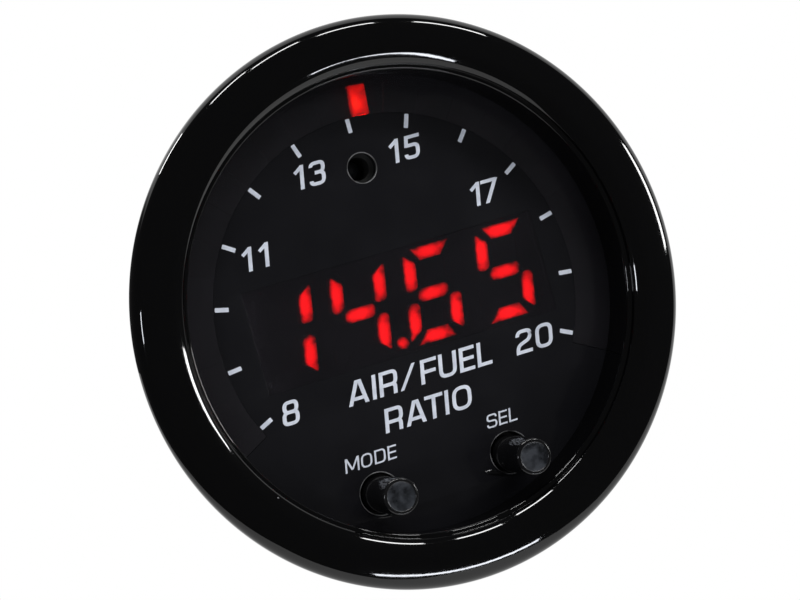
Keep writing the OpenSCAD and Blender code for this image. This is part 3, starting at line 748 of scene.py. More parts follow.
LETTERS = {
    "0": (0.80, [loop(hx, LOW, 0.80 - hx, TOP, 0.27)]),
    "1": (0.44, [("level", [(0.44 - hx, 0), (0.44 - hx, 1)]), ("line", [(0.03, 0.70), (0.44 - hx, 0.945)])]),
    "2": (0.76, [("line", bend([(hx, 0.73), (hx, TOP), (0.76 - hx, TOP), (0.76 - hx, 0.56), (hx, 0.36),
                                (hx, LOW, 0), (0.76, LOW)], 0.2))]),
    "3": (0.74, [("line", bend([(hx, 0.78), (hx, TOP), (0.73 - hx, TOP), (0.73 - hx, 0.53),
                                (0.26, 0.53)], 0.19)),
                 ("line", bend([(0.26, 0.53), (0.74 - hx, 0.53), (0.74 - hx, LOW), (hx, LOW),
                                (hx, 0.22)], 0.2))]),
    "5": (0.72, [("line", bend([(0.72, TOP), (hx + 0.03, TOP, 0), (hx + 0.01, 0.52, 0)], 0.2)),
                 ("line", bend([(hx, 0.58), (0.71 - hx, 0.58), (0.71 - hx, LOW), (hx, LOW),
                                (hx, 0.23)], 0.2))]),
    "7": (0.80, [("line", [(0, TOP), (0.80 - hx, TOP)]), ("level", [(0.28, 0), (0.80 - hx, 0.97)])]),
    "8": (0.76, [loop(hx, LOW, 0.76 - hx, 0.53, 0.19), loop(hx + 0.03, 0.53, 0.73 - hx, TOP, 0.18)]),
    "A": (0.95, [("level", [(0.1, 0), (0.425, 1)]), ("level", [(0.85, 0), (0.525, 1)]),
                 ("line", [(0.2, 0.25), (0.75, 0.25)])]),
    "D": (0.90, [("loop", bend([(hx, LOW, 0), (0.90 - hx, LOW), (0.90 - hx, TOP), (hx, TOP, 0)],
                               0.28, True))]),
    "E": (0.70, [("level", [(hx, 0), (hx, 1)]), ("line", [(hx, TOP), (0.70, TOP)]),
                 ("line", [(hx, 0.51), (0.67, 0.51)]), ("line", [(hx, LOW), (0.70, LOW)])]),
    "F": (0.74, [("level", [(hx, 0), (hx, 1)]), ("line", [(hx, TOP), (0.74, TOP)]),
                 ("line", [(hx, 0.48), (0.69, 0.48)])]),
    "I": (0.18, [("level", [(hx, 0), (hx, 1)])]),
    "L": (0.68, [("level", [(hx, 0), (hx, 1)]), ("line", [(hx, LOW), (0.68, LOW)])]),
    "M": (1.12, [("level", [(hx, 0), (hx, 1)]), ("level", [(1.12 - hx, 0), (1.12 - hx, 1)]),
                 ("level", [(0.56, 0.16), (hx + 0.02, 1)]), ("level", [(0.56, 0.16), (1.10 - hx, 1)])]),
    "O": (0.90, [loop(hx, LOW, 0.90 - hx, TOP, 0.33)]),
    "R": (0.84, [("level", [(hx, 0), (hx, 1)]),
                 ("line", bend([(hx, TOP), (0.83 - hx, TOP), (0.83 - hx, 0.42), (hx, 0.42)], 0.2)),
                 ("line", bend([(0.4, 0.42), (0.80 - hx, 0.42), (0.80 - hx, 0)], 0.16))]),
    "S": (0.86, [("line", bend([(0.85 - hx, 0.73), (0.85 - hx, TOP), (hx, TOP), (hx, 0.52), (0.86 - hx, 0.50),
                                (0.86 - hx, LOW), (hx, LOW), (hx, 0.26)], 0.2))]),
    "T": (0.84, [("line", [(0, TOP), (0.84, TOP)]), ("level", [(0.42, 0), (0.42, 1)])]),
    "U": (0.82, [("line", bend([(hx, 1), (hx, LOW), (0.82 - hx, LOW), (0.82 - hx, 1)], 0.25))]),
    "/": (0.74, [("level", [(hx, 0), (0.74 - hx, 1)])]),
}
print(len(LETTERS), "letters")

# %% [markdown]
# The words are set letter by letter at their measured places: the left edge of each letter on the base
# line, in millimetres.

# %% Dial lettering
SLANT = 0.205
SETTINGS = [
    (14.20, 2.50, [("1", -7.64), ("3", -5.94), ("1", 3.28), ("5", 5.02)]),
    (7.46, 2.50, [("1", -15.50), ("1", -13.62), ("1", 10.82), ("7", 12.06)]),
    (-9.06, 2.53, [("8", -15.86), ("2", 11.28), ("0", 13.62)]),
    (-9.06, 2.53, [("A", -8.40), ("I", -5.60), ("R", -4.78), ("/", -2.42), ("F", 0.02), ("U", 2.14),
                   ("E", 4.56), ("L", 6.66)]),
    (-12.85, 2.50, [("R", -5.24), ("A", -2.84), ("T", -0.60), ("I", 1.74), ("O", 2.60)]),
    (-15.64, 1.47, [("M", -10.72), ("O", -8.90), ("D", -7.36), ("E", -5.84)]),
    (-15.64, 1.47, [("S", 5.76), ("E", 7.18), ("L", 8.38)]),
]
bm = bmesh.new()
for base, high, letters in SETTINGS:
    for key, left_edge in letters:
        for layer, (kind, path) in enumerate(LETTERS[key][1]):
            weight = 0.8 if key == "/" or high < 2 else 1.0
            add_stroke(bm, path, kind == "loop", (left_edge, base), high, SLANT, weight,
                       kind == "level", layer)
make_piece("dial_lettering", bm, "gauge", dial_ink)

# %% [markdown]
# A bar of the display is a flat block with its own outline. To light it from the middle, the top is built
# in rings that shrink from the outline to the bar's spine, and each point gets a glow, from about a tenth
# at the edge to 1 on the spine. The ends of the spine glow less than its middle, where the lamp sits. The
# block's foot gets a glow below 0, so that its sides stay dark.

# %% Bars that glow
GLOW_LEAN, EDGE_GLOW, FOOT_GLOW = Vector((-0.2, 0.0)), 0.12, -0.3


def glow_mesh():
    """An empty bmesh for bars, and the layer that holds their glow."""
    bm = bmesh.new()
    return bm, bm.verts.layers.float.new("glow")


def add_glow_bar(bm, layer, outline, spine, low, high, rings=5, ends=0.45):
    """Adds a block whose top face glows towards its spine, a line between two points."""
    a, b = Vector(spine[0]) + GLOW_LEAN, Vector(spine[1]) + GLOW_LEAN
    length = max((b - a).length, 1e-6)
    points = [Vector(p) for p in outline]
    smooth = []
    for i, p in enumerate(points):
        q = points[(i + 1) % len(points)]
        steps = max(1, round((q - p).length / 0.35))
        smooth += [p.lerp(q, k / steps) for k in range(steps)]

    def nearest(p):
        t = min(1, max(0, (p - a).dot(b - a) / length ** 2))
        return a.lerp(b, t), t

    loops = []
    for ring in range(rings + 1):
        share = ring / rings
        row = []
        for p in smooth:
            s, t = nearest(p)
            q = p.lerp(s, share * 0.97)
            vert = bm.verts.new((q.x, q.y, high))
            along = 1 - (1 - ends) * abs(2 * t - 1) ** 2
            vert[layer] = max(EDGE_GLOW, share ** 0.8) * along
            row.append(vert)
        loops.append(row)
    foot = []
    for p in smooth:
        vert = bm.verts.new((p.x, p.y, low))
        vert[layer] = FOOT_GLOW
        foot.append(vert)
    for first, second in zip([foot] + loops, loops):
        join_rings(bm, first, second)
    bm.faces.new(loops[-1])
    bm.faces.new(foot[::-1])


print("ready to build bars")

# %% [markdown]
# Each digit has seven bars, slanted by ten degrees. The outer ones end in a cut at the digit's corner
# and round off where they meet the middle bar; the top and bottom bars are longer on their outer side. The
# digits are 6.27 mm wide, a third of a millimetre less than in the CAD model, and their ends are rounder.

# %% Outlines of the seven bars
DIGIT_W, DIGIT_H, SEG_W, DIGIT_PITCH = 6.27, 10.1, 1.4, 8.45
LEAN = math.tan(math.radians(10))
out_x, in_x, top_y = DIGIT_W / 2, DIGIT_W / 2 - SEG_W, DIGIT_H / 2


def side_outline(sx, sy):
    """An upright bar at the right (sx 1) or left (sx -1), upper (sy 1) or lower (sy -1)."""
    low = top_y * 0.115
    mid = (out_x + in_x) / 2
    tip = top_y * 0.88
    points = [(out_x, tip - 0.15), (out_x - 0.12, tip), (out_x - 0.3, tip - 0.1),
              (in_x + 0.12, tip - SEG_W * 0.62), (in_x, tip - SEG_W * 0.85)]
    points += [(mid - SEG_W / 2 * math.cos(math.radians(a)),
                low + SEG_W * 0.42 * (1 - math.sin(math.radians(a)))) for a in range(0, 181, 20)]
    return [(x * sx, y * sy) for x, y in points]


def cap_outline(sy):
    """The top (sy 1) or bottom (sy -1) bar."""
    half_out, half_in = DIGIT_W * 0.35, DIGIT_W * 0.19
    return [(x, y * sy) for x, y in ((-half_out, top_y), (half_out, top_y), (half_in, top_y - SEG_W),
                                     (-half_in, top_y - SEG_W))]


def middle_outline():
    """The middle bar, with round ends."""
    half = DIGIT_W * 0.28
    ends = []
    for side in (1, -1):
        ends += [(side * (half - SEG_W * 0.42 + SEG_W * 0.42 * math.cos(math.radians(a))),
                  side * SEG_W / 2 * math.sin(math.radians(a))) for a in range(-90, 91, 20)]
    return ends


side_mid_x = (out_x + in_x) / 2
BARS = {
    "a": (cap_outline(1), ((-1.1, top_y - 0.62), (1.1, top_y - 0.62))),
    "d": (cap_outline(-1), ((-1.1, -top_y + 0.62), (1.1, -top_y + 0.62))),
    "g": (middle_outline(), ((-1.0, 0), (1.0, 0))),
    "b": (side_outline(1, 1), ((side_mid_x, top_y * 0.74), (side_mid_x, top_y * 0.28))),
    "c": (side_outline(1, -1), ((side_mid_x, -top_y * 0.74), (side_mid_x, -top_y * 0.28))),
    "f": (side_outline(-1, 1), ((-side_mid_x, top_y * 0.74), (-side_mid_x, top_y * 0.28))),
    "e": (side_outline(-1, -1), ((-side_mid_x, -top_y * 0.74), (-side_mid_x, -top_y * 0.28))),
}
print(len(BARS), "bars to a digit")

# %% [markdown]
# The display reads 14.65. The lit bars make one piece and the dark ones another, because they have
# different finishes. Both lie close behind the film, about a millimetre nearer the front than in the CAD
# model, because the bars in the photograph look shallow.

# %% Display bars
DISPLAY_Z, BAR_DEEP = -2.85, 1.0
READING = ["bc", "bcfg", "acdefg", "acdfg"]
POINT_AFTER = 1
lit, dark = glow_mesh(), glow_mesh()


def leaned(points, shift):
    """Slants points as the digits are, and moves them along the display."""
    return [(x + y * LEAN + shift, y) for x, y in points]


for i, shown in enumerate(READING):
    shift = (i - 1.5) * DIGIT_PITCH
    for key, (outline, spine) in BARS.items():
        bm, layer = lit if key in shown else dark
        add_glow_bar(bm, layer, leaned(outline, shift), leaned(spine, shift), DISPLAY_Z - BAR_DEEP, DISPLAY_Z)
    point_x, point_y = DIGIT_PITCH / 2 + shift + 0.16, 0.76 - top_y
    point_x += point_y * LEAN
    bm, layer = lit if i == POINT_AFTER else dark
    add_glow_bar(bm, layer, circle(point_x, point_y, 0.68, steps=24),
                 ((point_x - 0.02, point_y), (point_x + 0.02, point_y)), DISPLAY_Z - BAR_DEEP, DISPLAY_Z)
make_piece("lit_bars", lit[0], "gauge", lit_segment, ["display_segments"])
make_piece("dark_bars", dark[0], "gauge", dark_segment, ["display_segments"])

# %% [markdown]
# The light ring has 24 bars at steps of ten degrees. One is lit, five degrees right of the top, as in the
# photograph.

# %% Light ring
RING_R, RING_LONG, RING_WIDE, RING_DEEP = 21.77, 3.2, 1.85, 3.1
RING_BARS, LIT_ANGLE = 24, 85
lit, dark = glow_mesh(), glow_mesh()
for i in range(RING_BARS):
    angle = 90 + (i - (RING_BARS - 1) / 2) * 10
    turn = math.radians(angle)
    outline = turned(rounded_box(RING_R, 0, RING_LONG, RING_WIDE, 0.12, 3), turn)
    spine = turned([(RING_R - 1.1, 0.3), (RING_R + 0.5, 0.3)], turn)
    bm, layer = lit if angle == LIT_ANGLE else dark
    add_glow_bar(bm, layer, outline, spine, DISPLAY_Z - RING_DEEP, DISPLAY_Z, ends=0.55)
make_piece("ring_bar_lit", lit[0], "gauge", lit_bar, ["ring_diffusers"])
make_piece("ring_bars_dark", dark[0], "gauge", red_light_bar, ["ring_diffusers"])

# %% [markdown]
# A button is a stem with a collar that keeps it in, a foot on its switch, a softly rounded tip and a
# shallow dish for the fingertip. The dish is a second material on the same turned mesh. A long thin
# button has play in its hole, and both droop: in the photograph the select button most, by half a
# millimetre at its tip. A shear of the finished mesh gives that, with the foot staying where it is.

# %% Push buttons
TIP_Z, FOOT_Z = 4.0, -5.1
dish = [(1.58 * math.cos(math.radians(a)), TIP_Z - 0.14 * math.sin(math.radians(a)))
        for a in range(0, 90, 10)]
button_section = (
    [(0, FOOT_Z), (1.22, FOOT_Z), (1.3, FOOT_Z + 0.08), (1.3, -4.4), (2.74, -4.4), (2.8, -4.34), (2.8, -3.86),
     (2.74, -3.8), (1.95, -3.8)]
    + arc(1.71, TIP_Z - 0.24, 0.24, 0, 84, 10)
    + dish + [(0, TIP_Z - 0.14)]
)


def is_dish(first, second):
    """The dish is the part of the section near the axis at the tip."""
    return 1 if max(first[0], second[0]) < 1.57 and min(first[1], second[1]) > 3 else 0


for name, side, body_name, aside, down in (("mode", -1, "mode_key", 0.03, 0.22),
                                           ("select", 1, "select_key", 0.08, 0.5)):
    bm = turn_section(bmesh.new(), button_section, 96, (side * BUTTON_X, BUTTON_Y), is_dish)
    for vert in bm.verts:
        reach = (vert.co.z - FOOT_Z) / (TIP_Z - FOOT_Z)
        vert.co.x += aside * reach
        vert.co.y -= down * reach
    make_piece(name + "_cap", bm, body_name, [button_black, button_face_painted_sheen],
               [name + "_button"], angle=40)

# %% [markdown]
# Where the print is cut for the buttons and the sensor, a thin mottled grey ring is painted round the hole: a
# painted highlight, for the lamp light that the hole's rounded edge catches. It is a turned ring of four
# points, a tenth of a millimetre wide.

# %% Cut edges of the film, with a painted highlight
# The grey of this ring is painted highlight, not the film's own colour.
painted_edge_highlight = plastic("painted_edge_highlight", (0.012, 0.012, 0.013), (0.19, 0.19, 0.195), 0.35, 0.5, 9000.0, 0.000006, 700.0)
bm = bmesh.new()
for x, y, radius in ((SENSOR_X, SENSOR_Y, 1.6), (-BUTTON_X, BUTTON_Y, 2.25), (BUTTON_X, BUTTON_Y, 2.25)):
    turn_section(bm, [(radius - 0.03, DIAL_Z - 0.12), (radius + 0.1, DIAL_Z - 0.12),
                      (radius + 0.08, DIAL_Z + 0.012), (radius, DIAL_Z + 0.012)], 96, (x, y))
make_piece("cut_rings", bm, "gauge", painted_edge_highlight)

# %% [markdown]
# The photograph shows a short light streak below each button. What makes it can't be seen, and here it is
# taken for a small crease of the film: a low, smooth ridge whose rounded back finds a lamp to mirror. The
# ridge keeps clear of the hole and of the drooping button.

# %% Creases of the film
CREASE_WIDE, CREASE_HIGH, CREASE_CLEAR = 0.8, 0.13, 2.4
ALONG, ACROSS = 16, 12
bm = bmesh.new()
for start, end, swell in (((7.6, -21.2), (4.2, -19.95), 1.0), ((-6.9, -21.3), (-8.7, -21.0), 0.6)):
    a, b = Vector(start), Vector(end)
    across = Vector((-(b - a).y, (b - a).x)).normalized()
    hole = Vector((BUTTON_X if a.x > 0 else -BUTTON_X, BUTTON_Y))
    rows = []
    for i in range(ALONG + 1):
        taper = math.sin(math.pi * (i + 0.5) / (ALONG + 1)) ** 0.7 * swell
        bow = 0.12 * math.sin(math.pi * i / ALONG)
        row = []
        for k in range(ACROSS + 1):
            t = 2 * k / ACROSS - 1
            p = a.lerp(b, i / ALONG) + across * (t * CREASE_WIDE / 2 * taper - bow)
            clear = CREASE_CLEAR + 0.01 * (ACROSS - k)
            if (p - hole).length < clear:
                p = hole + (p - hole).normalized() * clear
            rise = CREASE_HIGH * taper * math.cos(t * math.pi / 2)
            row.append(bm.verts.new((p.x, p.y, DIAL_Z - 0.004 + rise)))
        rows.append(row)
    for first, second in zip(rows, rows[1:]):
        for k in range(ACROSS):
            bm.faces.new((first[k], first[k + 1], second[k + 1], second[k]))
    under = [[bm.verts.new((v.co.x, v.co.y, DIAL_Z - 0.05)) for v in (row[0], row[-1])] for row in rows]
    for i in range(ALONG):
        bm.faces.new((rows[i][0], rows[i + 1][0], under[i + 1][0], under[i][0]))
        bm.faces.new((rows[i + 1][-1], rows[i][-1], under[i][1], under[i + 1][1]))
        bm.faces.new((under[i][0], under[i + 1][0], under[i + 1][1], under[i][1]))
    bm.faces.new(rows[0] + under[0][::-1])
    bm.faces.new(rows[-1][::-1] + under[-1])
make_piece("film_creases", bm, "gauge", button_black, angle=60)

# %% [markdown]
# The cup is turned as well: an outer wall with a chamfered front edge that meets the bezel, a rounded
# rear edge, and the inner wall. Its back is a plate with holes for the two plug inlets and the two studs,
# and it fills the ring that the turned part leaves open.

# %% Cup wall
FLOOR_Z, CUP_BACK_Z = -11.0, -12.0
BACK_R = 24.6
cup_section = (
    [(CUP_R, 0.4), (BARREL_R - 0.4, 0.4), (BARREL_R, 0.0)]
    + [(BARREL_R, -11.4)] + arc(BARREL_R - 0.6, -11.4, 0.6, 0, -90, 8)[1:]
    + [(BACK_R, CUP_BACK_Z), (BACK_R, FLOOR_Z), (CUP_R, FLOOR_Z)]
)
bm = turn_section(bmesh.new(), cup_section, 256)
make_piece("cup_wall", bm, "gauge", cup_black, ["housing_cup"], angle=35)

# %% [markdown]
# The back plate carries what such mouldings show: round ejector marks and a shallow ring where the mould
# halves meet the core. They are holes and rings of very thin plates laid over a solid one.

# %% Cup back
INLET_Y, STUD_X = 12.0, 17.0
POWER_W, SIGNAL_W, INLET_H = 12.96, 18.04, 8.0
through = [
    rounded_box(0, INLET_Y, POWER_W + 0.2, INLET_H + 0.2, 0.1, 3),
    rounded_box(0, -INLET_Y, SIGNAL_W + 0.2, INLET_H + 0.2, 0.1, 3),
    circle(STUD_X, 0, 2.35), circle(-STUD_X, 0, 2.35),
]
plate("cup_floor", circle(0, 0, BACK_R, steps=256), through, FLOOR_Z - 0.75, FLOOR_Z, 0.005,
      "gauge", cup_black, ["housing_cup"])
marks = [circle(17.5 * math.cos(math.radians(a)), 17.5 * math.sin(math.radians(a)), 1.5, steps=48)
         for a in (40, 140, 220, 320)]
plate("cup_skin", circle(0, 0, 22.6, steps=256), through + marks, CUP_BACK_Z, FLOOR_Z - 0.75, 0.04,
      "gauge", cup_black, ["housing_cup"])
plate("cup_skin_rim", circle(0, 0, BACK_R + 0.01, steps=256), [circle(0, 0, 23.1, steps=256)],
      CUP_BACK_Z, FLOOR_Z - 0.75, 0.04, "gauge", cup_black, ["housing_cup"])

# %% [markdown]
# The plug inlets stay the CAD model's shape, but a moulded box has no knife edges. A copy of the CAD
# mesh is cleaned of its triangles and given a small bevel, and the copy stands for the part.

# %% Soften a CAD part's edges
def soften(node_name, piece_name, width, material, body_name="gauge", steps=2):
    """A copy of a CAD part with rounded edges."""
    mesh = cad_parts[node_name].data.copy()
    mesh.materials.clear()
    bm = bmesh.new()
    bm.from_mesh(mesh)
    bmesh.ops.remove_doubles(bm, verts=bm.verts, dist=1e-6)
    bmesh.ops.dissolve_limit(bm, angle_limit=math.radians(1), verts=bm.verts, edges=bm.edges)
    sharp = [e for e in bm.edges if len(e.link_faces) == 2 and e.calc_face_angle() > math.radians(30)]
    bmesh.ops.bevel(bm, geom=sharp, offset=width * MM, segments=steps, profile=0.5, affect="EDGES",
                    clamp_overlap=True)
    bm.to_mesh(mesh)
    bm.free()
    mesh.shade_smooth()
    mesh.set_sharp_from_angle(angle=math.radians(40))
    mesh.materials.append(material)
    piece = bpy.data.objects.new(piece_name, mesh)
    bpy.context.scene.collection.objects.link(piece)
    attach(piece, body_name)
    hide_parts(node_name)
    print(piece_name, len(mesh.vertices), "points")
    return piece


soften("power_header", "power_inlet_box", 0.15, header_black)
soften("signal_header", "signal_inlet_box", 0.15, header_black)

# %% [markdown]
# Studs of this kind are threaded; in the CAD model they are plain. A thread is one more grid: the radius at
# each point depends on how far round and how far along it is, so the crest climbs one pitch per turn. The
# end is chamfered by a limit on the radius.

# %% Threaded studs
def add_thread(bm, x, start, end, radius, pitch, depth, around=48, rows_per_turn=8):
    """Adds a threaded rod from height start (root) down to end (tip), about (x, 0)."""
    turns = abs(end - start) / pitch
    rows = int(turns * rows_per_turn)
    rings = []
    for j in range(rows + 1):
        z = start + (end - start) * j / rows
        ring = []
        for k in range(around):
            phase = (abs(z - start) / pitch - k / around) % 1
            r = radius - depth * (1 - abs(2 * phase - 1))
            r = min(r, radius - depth + abs(z - end) * 1.2, radius - depth + abs(z - start) * 1.2)
            a = 2 * math.pi * k / around
            ring.append(bm.verts.new((x + r * math.cos(a), r * math.sin(a), z)))
        rings.append(ring)
    for first, second in zip(rings, rings[1:]):
        join_rings(bm, first, second)
    bm.faces.new(rings[0])
    bm.faces.new(rings[-1][::-1])


SHOULDER_Z, STUD_END_Z = -15.4, -24.0
bm = bmesh.new()
for side in (-1, 1):
    add_thread(bm, side * STUD_X, SHOULDER_Z + 0.1, STUD_END_Z, 2.0, 0.7, 0.38)
    turn_section(bm, [(0, -10), (3.1, -10), (3.22, -10.12), (3.22, -11), (2.3, -11), (2.3, SHOULDER_Z + 0.12),
                      (2.18, SHOULDER_Z), (0, SHOULDER_Z)], 64, (side * STUD_X, 0))
make_piece("threaded_studs", bm, "gauge", bright_steel, ["studs"], angle=28)

# %% [markdown]
# A hexagon nut is a prism whose corners are cut by a cone. The radius of the prism is known at every
# angle, and where it is larger than the flats the cone lowers the edge: that gives the curved chamfers.

# %% Hexagon nuts
def add_nut(bm, x, low, high, flats, bore, around=96):
    """Adds a nut between two heights about (x, 0)."""
    chamfer = flats / 2 * 0.97
    rows = []
    for k in range(around):
        a = 2 * math.pi * k / around
        local = (math.degrees(a) + 30) % 60 - 30
        r = flats / 2 / math.cos(math.radians(local))
        drop = max(0.0, (r - chamfer)) * math.tan(math.radians(30))
        ring = [(bore, low + 0.25), (bore + 0.25, low), (chamfer, low), (r, low + drop), (r, high - drop),
                (chamfer, high), (bore + 0.25, high), (bore, high - 0.25)]
        rows.append([bm.verts.new((x + q * math.cos(a), q * math.sin(a), z)) for q, z in ring])
    for k in range(around):
        join_rings(bm, rows[k], rows[(k + 1) % around])


bm = bmesh.new()
for side in (-1, 1):
    add_nut(bm, side * STUD_X, -15.2, CUP_BACK_Z, 7.6, 2.35)
make_piece("hex_nuts", bm, "gauge", bright_steel, ["stud_nuts"], angle=25)

# %% [markdown]
# The light is read off the gauge itself. A turned edge shows each lamp as a short bright dash, and the
# dash lies where the edge faces halfway between lamp and camera. So the dashes round the photographed
# bezel give every lamp's direction, and their lengths its width along the rim. There are five small
# ceiling lamps in an arc from behind on the left to the right, one window-like lamp at the right, one
# low strip just past the front of the table and one small lamp in front on the left.
# A direction is given in degrees to the right of straight ahead, and degrees above the horizon.

# %% Lamps
LAMP_AWAY = 0.8
to_camera = place.normalized()


def direction(aside, above):
    """The unit vector from the gauge towards a direction of the room."""
    a, e = math.radians(aside), math.radians(above)
    return Vector((math.sin(a) * math.cos(e), -math.cos(a) * math.cos(e), math.sin(e)))


def lamp(name, aside, above, along, across, bright, colour=(1, 1, 1)):
    """A rectangular lamp that faces the gauge: along and across are its sizes in degrees, as seen from the
    gauge, with and against the bezel's edge where the edge mirrors it. A bright of 1 is a white page."""
    out = direction(aside, above)
    halfway = out + to_camera
    edge_way = Vector((-halfway.z, 0, halfway.x)).normalized()
    x_axis = (edge_way - out * edge_way.dot(out)).normalized()
    y_axis = out.cross(x_axis)
    data = bpy.data.lights.new(name, "AREA")
    data.shape = "RECTANGLE"
    data.size = 2 * LAMP_AWAY * math.tan(math.radians(along / 2))
    data.size_y = 2 * LAMP_AWAY * math.tan(math.radians(across / 2))
    data.energy = bright * math.pi * data.size * data.size_y
    data.color = colour
    spot = bpy.data.objects.new(name, data)
    spot.matrix_world = Matrix((
        (x_axis.x, y_axis.x, out.x, out.x * LAMP_AWAY),
        (x_axis.y, y_axis.y, out.y, out.y * LAMP_AWAY),
        (x_axis.z, y_axis.z, out.z, out.z * LAMP_AWAY),
        (0, 0, 0, 1),
    ))
    spot.visible_camera = False
    bpy.context.scene.collection.objects.link(spot)


BRIGHT, BLUISH = 26.0, (0.90, 0.93, 1.0)
lamp("lamp_behind_left", -127, 52, 11, 6, BRIGHT)
lamp("lamp_over_left", -31, 70, 11, 6, BRIGHT)
lamp("lamp_over", 9.2, 61, 11, 6, BRIGHT)
lamp("lamp_high_right", 29.5, 47, 10, 6, BRIGHT)
lamp("lamp_mid_right", 46, 35, 11, 6, BRIGHT)
lamp("lamp_right", 63, 2, 14, 7, BRIGHT)
lamp("lamp_front_left", -45, 8, 6.5, 5, BRIGHT, BLUISH)
lamp("strip_below", 18.2, -38.2, 23, 1.4, BRIGHT, BLUISH)

# %% [markdown]
# The gauge was photographed in mid air, with a pale table below it. In the bezel's lower edge the table
# ends where the grey reflection ends, so its outline is given as the directions in which the gauge sees
# that edge. Towards the back it goes on out of sight. Camera, mirror and window rays see the table
# nearly white: it only keeps its own shade, and with it the gauge's shadow, close below the gauge. On its
# left side, mirror rays see more of its own shade.

# %% Table
TABLE_DROP, SHADE_SHARE, SHADE_REACH = 0.25, 0.3, 0.7
TABLE_EDGE = [(-107, 28), (-28, 42.5), (20, 41), (56, 34), (79, 25)]
table_white, tree, body = new_material("table_white")
body.inputs["Roughness"].default_value = 0.9
grain = use_group(tree, skin_group, Pebbles_per_metre=800.0, Clouds_per_metre=6.0)
shades = two_colours(tree, (0.80, 0.80, 0.80), (0.82, 0.82, 0.82))
white = add_node(tree, "ShaderNodeEmission", Color=(1, 1, 1, 1), Strength=1.0)
path_node = tree.nodes.new("ShaderNodeLightPath")
seen = add_node(tree, "ShaderNodeMath", {"operation": "MAXIMUM"})
seen_all = add_node(tree, "ShaderNodeMath", {"operation": "MAXIMUM"})
at = tree.nodes.new("ShaderNodeTexCoord")
far = add_node(tree, "ShaderNodeVectorMath", {"operation": "LENGTH"})
fade = add_node(tree, "ShaderNodeMapRange", {"interpolation_type": "SMOOTHSTEP"}, From_Min=0.1,
                From_Max=SHADE_REACH, To_Min=1 - SHADE_SHARE, To_Max=1.0)
share = add_node(tree, "ShaderNodeMath", {"operation": "MULTIPLY"})
sideways = tree.nodes.new("ShaderNodeSeparateXYZ")
left_dull = add_node(tree, "ShaderNodeMapRange", From_Min=-0.35, From_Max=0.05, To_Min=0.4, To_Max=1.0)
mirrored = add_node(tree, "ShaderNodeMath", {"operation": "MULTIPLY"})
mix = tree.nodes.new("ShaderNodeMixShader")
wire(tree,
     (grain, "Cloud", shades, "Factor"), (shades, "Result", body, "Base Color"),
     (path_node, "Is Camera Ray", seen, 0), (at, "Object", sideways, 0),
     (sideways, "X", left_dull, "Value"), (path_node, "Is Glossy Ray", mirrored, 0),
     (left_dull, "Result", mirrored, 1), (mirrored, 0, seen, 1), (seen, 0, seen_all, 0),
     (path_node, "Is Transmission Ray", seen_all, 1), (at, "Object", far, 0),
     (far, "Value", fade, "Value"), (seen_all, 0, share, 0), (fade, "Result", share, 1),
     (share, 0, mix, "Fac"), (body, "BSDF", mix, 1), (white, "Emission", mix, 2),
     (mix, "Shader", tree.nodes["Material Output"], "Surface"))
bm = bmesh.new()
corners = [(-6, 8), (-0.8, 1.0)]
for aside, below in TABLE_EDGE:
    way = direction(aside, -below)
    corners.append((way.x / -way.z * TABLE_DROP, way.y / -way.z * TABLE_DROP))
corners += [(2.5, 0.4), (6, 8)]
bm.faces.new([bm.verts.new((x, y, 0)) for x, y in corners])
bm.normal_update()
table_mesh = bpy.data.meshes.new("table")
bm.to_mesh(table_mesh)
bm.free()
table_mesh.materials.append(table_white)
table = bpy.data.objects.new("table", table_mesh)
table.location.z = -TABLE_DROP
bpy.context.scene.collection.objects.link(table)
table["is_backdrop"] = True
print("table is", TABLE_DROP * 1000, "mm below the middle of the gauge")

# %% [markdown]
# The white backdrop stands behind the gauge and reaches a good way round it: up to 75 degrees from a
# direction behind and a little to the right, but for a dark corner low on the left. The rest of the room,
# on the camera's side, is dark, and that is what the black dome of the bezel shows. Both are what mirror
# and window rays meet. The camera itself sees white all round, and matt surfaces get an even soft grey.

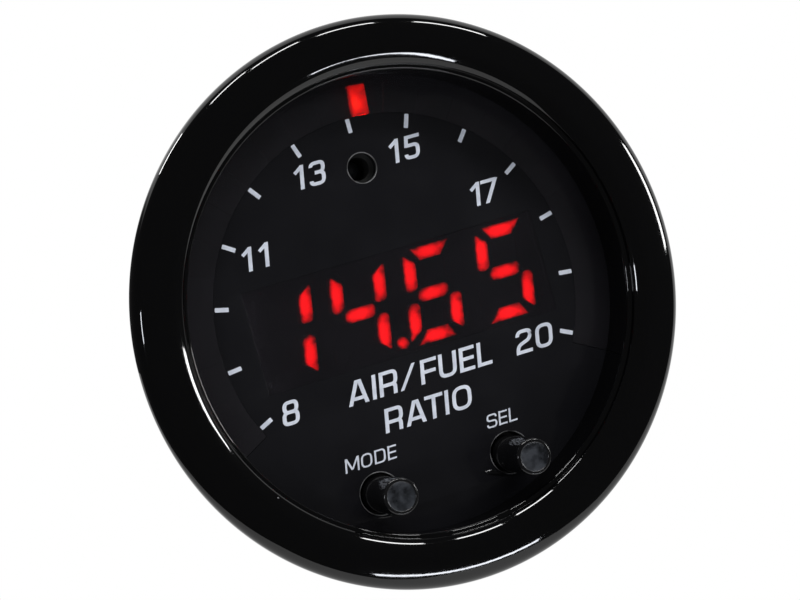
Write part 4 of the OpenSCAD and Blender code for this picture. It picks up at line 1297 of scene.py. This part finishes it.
# %% World
BACKDROP_WAY, BACKDROP_EDGE = (0.349, 0.92, 0.181), 0.25
CORNER_WAY, CORNER_EDGE = (-0.696, 0.597, -0.398), 0.45
world = bpy.data.worlds.new("studio")
bpy.context.scene.world = world
world.use_nodes = True
tree = world.node_tree
backdrop = tree.nodes["Background"]
backdrop.inputs["Color"].default_value = (1, 1, 1, 1)
backdrop.inputs["Strength"].default_value = 1.0
soft = add_node(tree, "ShaderNodeBackground", Color=(1, 1, 1, 1), Strength=0.35)
dim = add_node(tree, "ShaderNodeBackground", Color=(1, 1, 1, 1), Strength=0.05)
path_node = tree.nodes.new("ShaderNodeLightPath")
way = tree.nodes.new("ShaderNodeTexCoord")
facing = add_node(tree, "ShaderNodeVectorMath", {"operation": "DOT_PRODUCT"})
facing.inputs[1].default_value = BACKDROP_WAY
edge = add_node(tree, "ShaderNodeMapRange", {"interpolation_type": "SMOOTHSTEP"},
                From_Min=BACKDROP_EDGE - 0.05, From_Max=BACKDROP_EDGE + 0.1)
corner = add_node(tree, "ShaderNodeVectorMath", {"operation": "DOT_PRODUCT"})
corner.inputs[1].default_value = CORNER_WAY
open_side = add_node(tree, "ShaderNodeMapRange", {"interpolation_type": "SMOOTHSTEP"},
                     From_Min=CORNER_EDGE, From_Max=CORNER_EDGE + 0.15, To_Min=1.0, To_Max=0.0)
lit_part = add_node(tree, "ShaderNodeMath", {"operation": "MULTIPLY"})
wire(tree,
     (way, "Generated", facing, 0), (way, "Generated", corner, 0), (facing, "Value", edge, "Value"),
     (corner, "Value", open_side, "Value"), (edge, "Result", lit_part, 0),
     (open_side, "Result", lit_part, 1))
reflect = add_node(tree, "ShaderNodeMath", {"operation": "MAXIMUM"})
wire(tree, (path_node, "Is Glossy Ray", reflect, 0), (path_node, "Is Transmission Ray", reflect, 1))
room = tree.nodes.new("ShaderNodeMixShader")
wire(tree, (lit_part, 0, room, "Fac"), (dim, 0, room, 1), (backdrop, 0, room, 2))
by_gloss = tree.nodes.new("ShaderNodeMixShader")
wire(tree, (reflect, 0, by_gloss, "Fac"), (soft, 0, by_gloss, 1), (room, 0, by_gloss, 2))
by_camera = tree.nodes.new("ShaderNodeMixShader")
wire(tree,
     (path_node, "Is Camera Ray", by_camera, "Fac"), (by_gloss, 0, by_camera, 1),
     (backdrop, 0, by_camera, 2), (by_camera, 0, tree.nodes["World Output"], "Surface"))
print("the backdrop stands towards", BACKDROP_WAY)

# %% [markdown]
# Last, the size: the dressed gauge must fill the same box as the CAD model, so its box is printed here in
# millimetres.

# %% Print the size
low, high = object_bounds()
print("visual size in mm:", [round((b - a) * 1000, 2) for a, b in zip(low, high)])
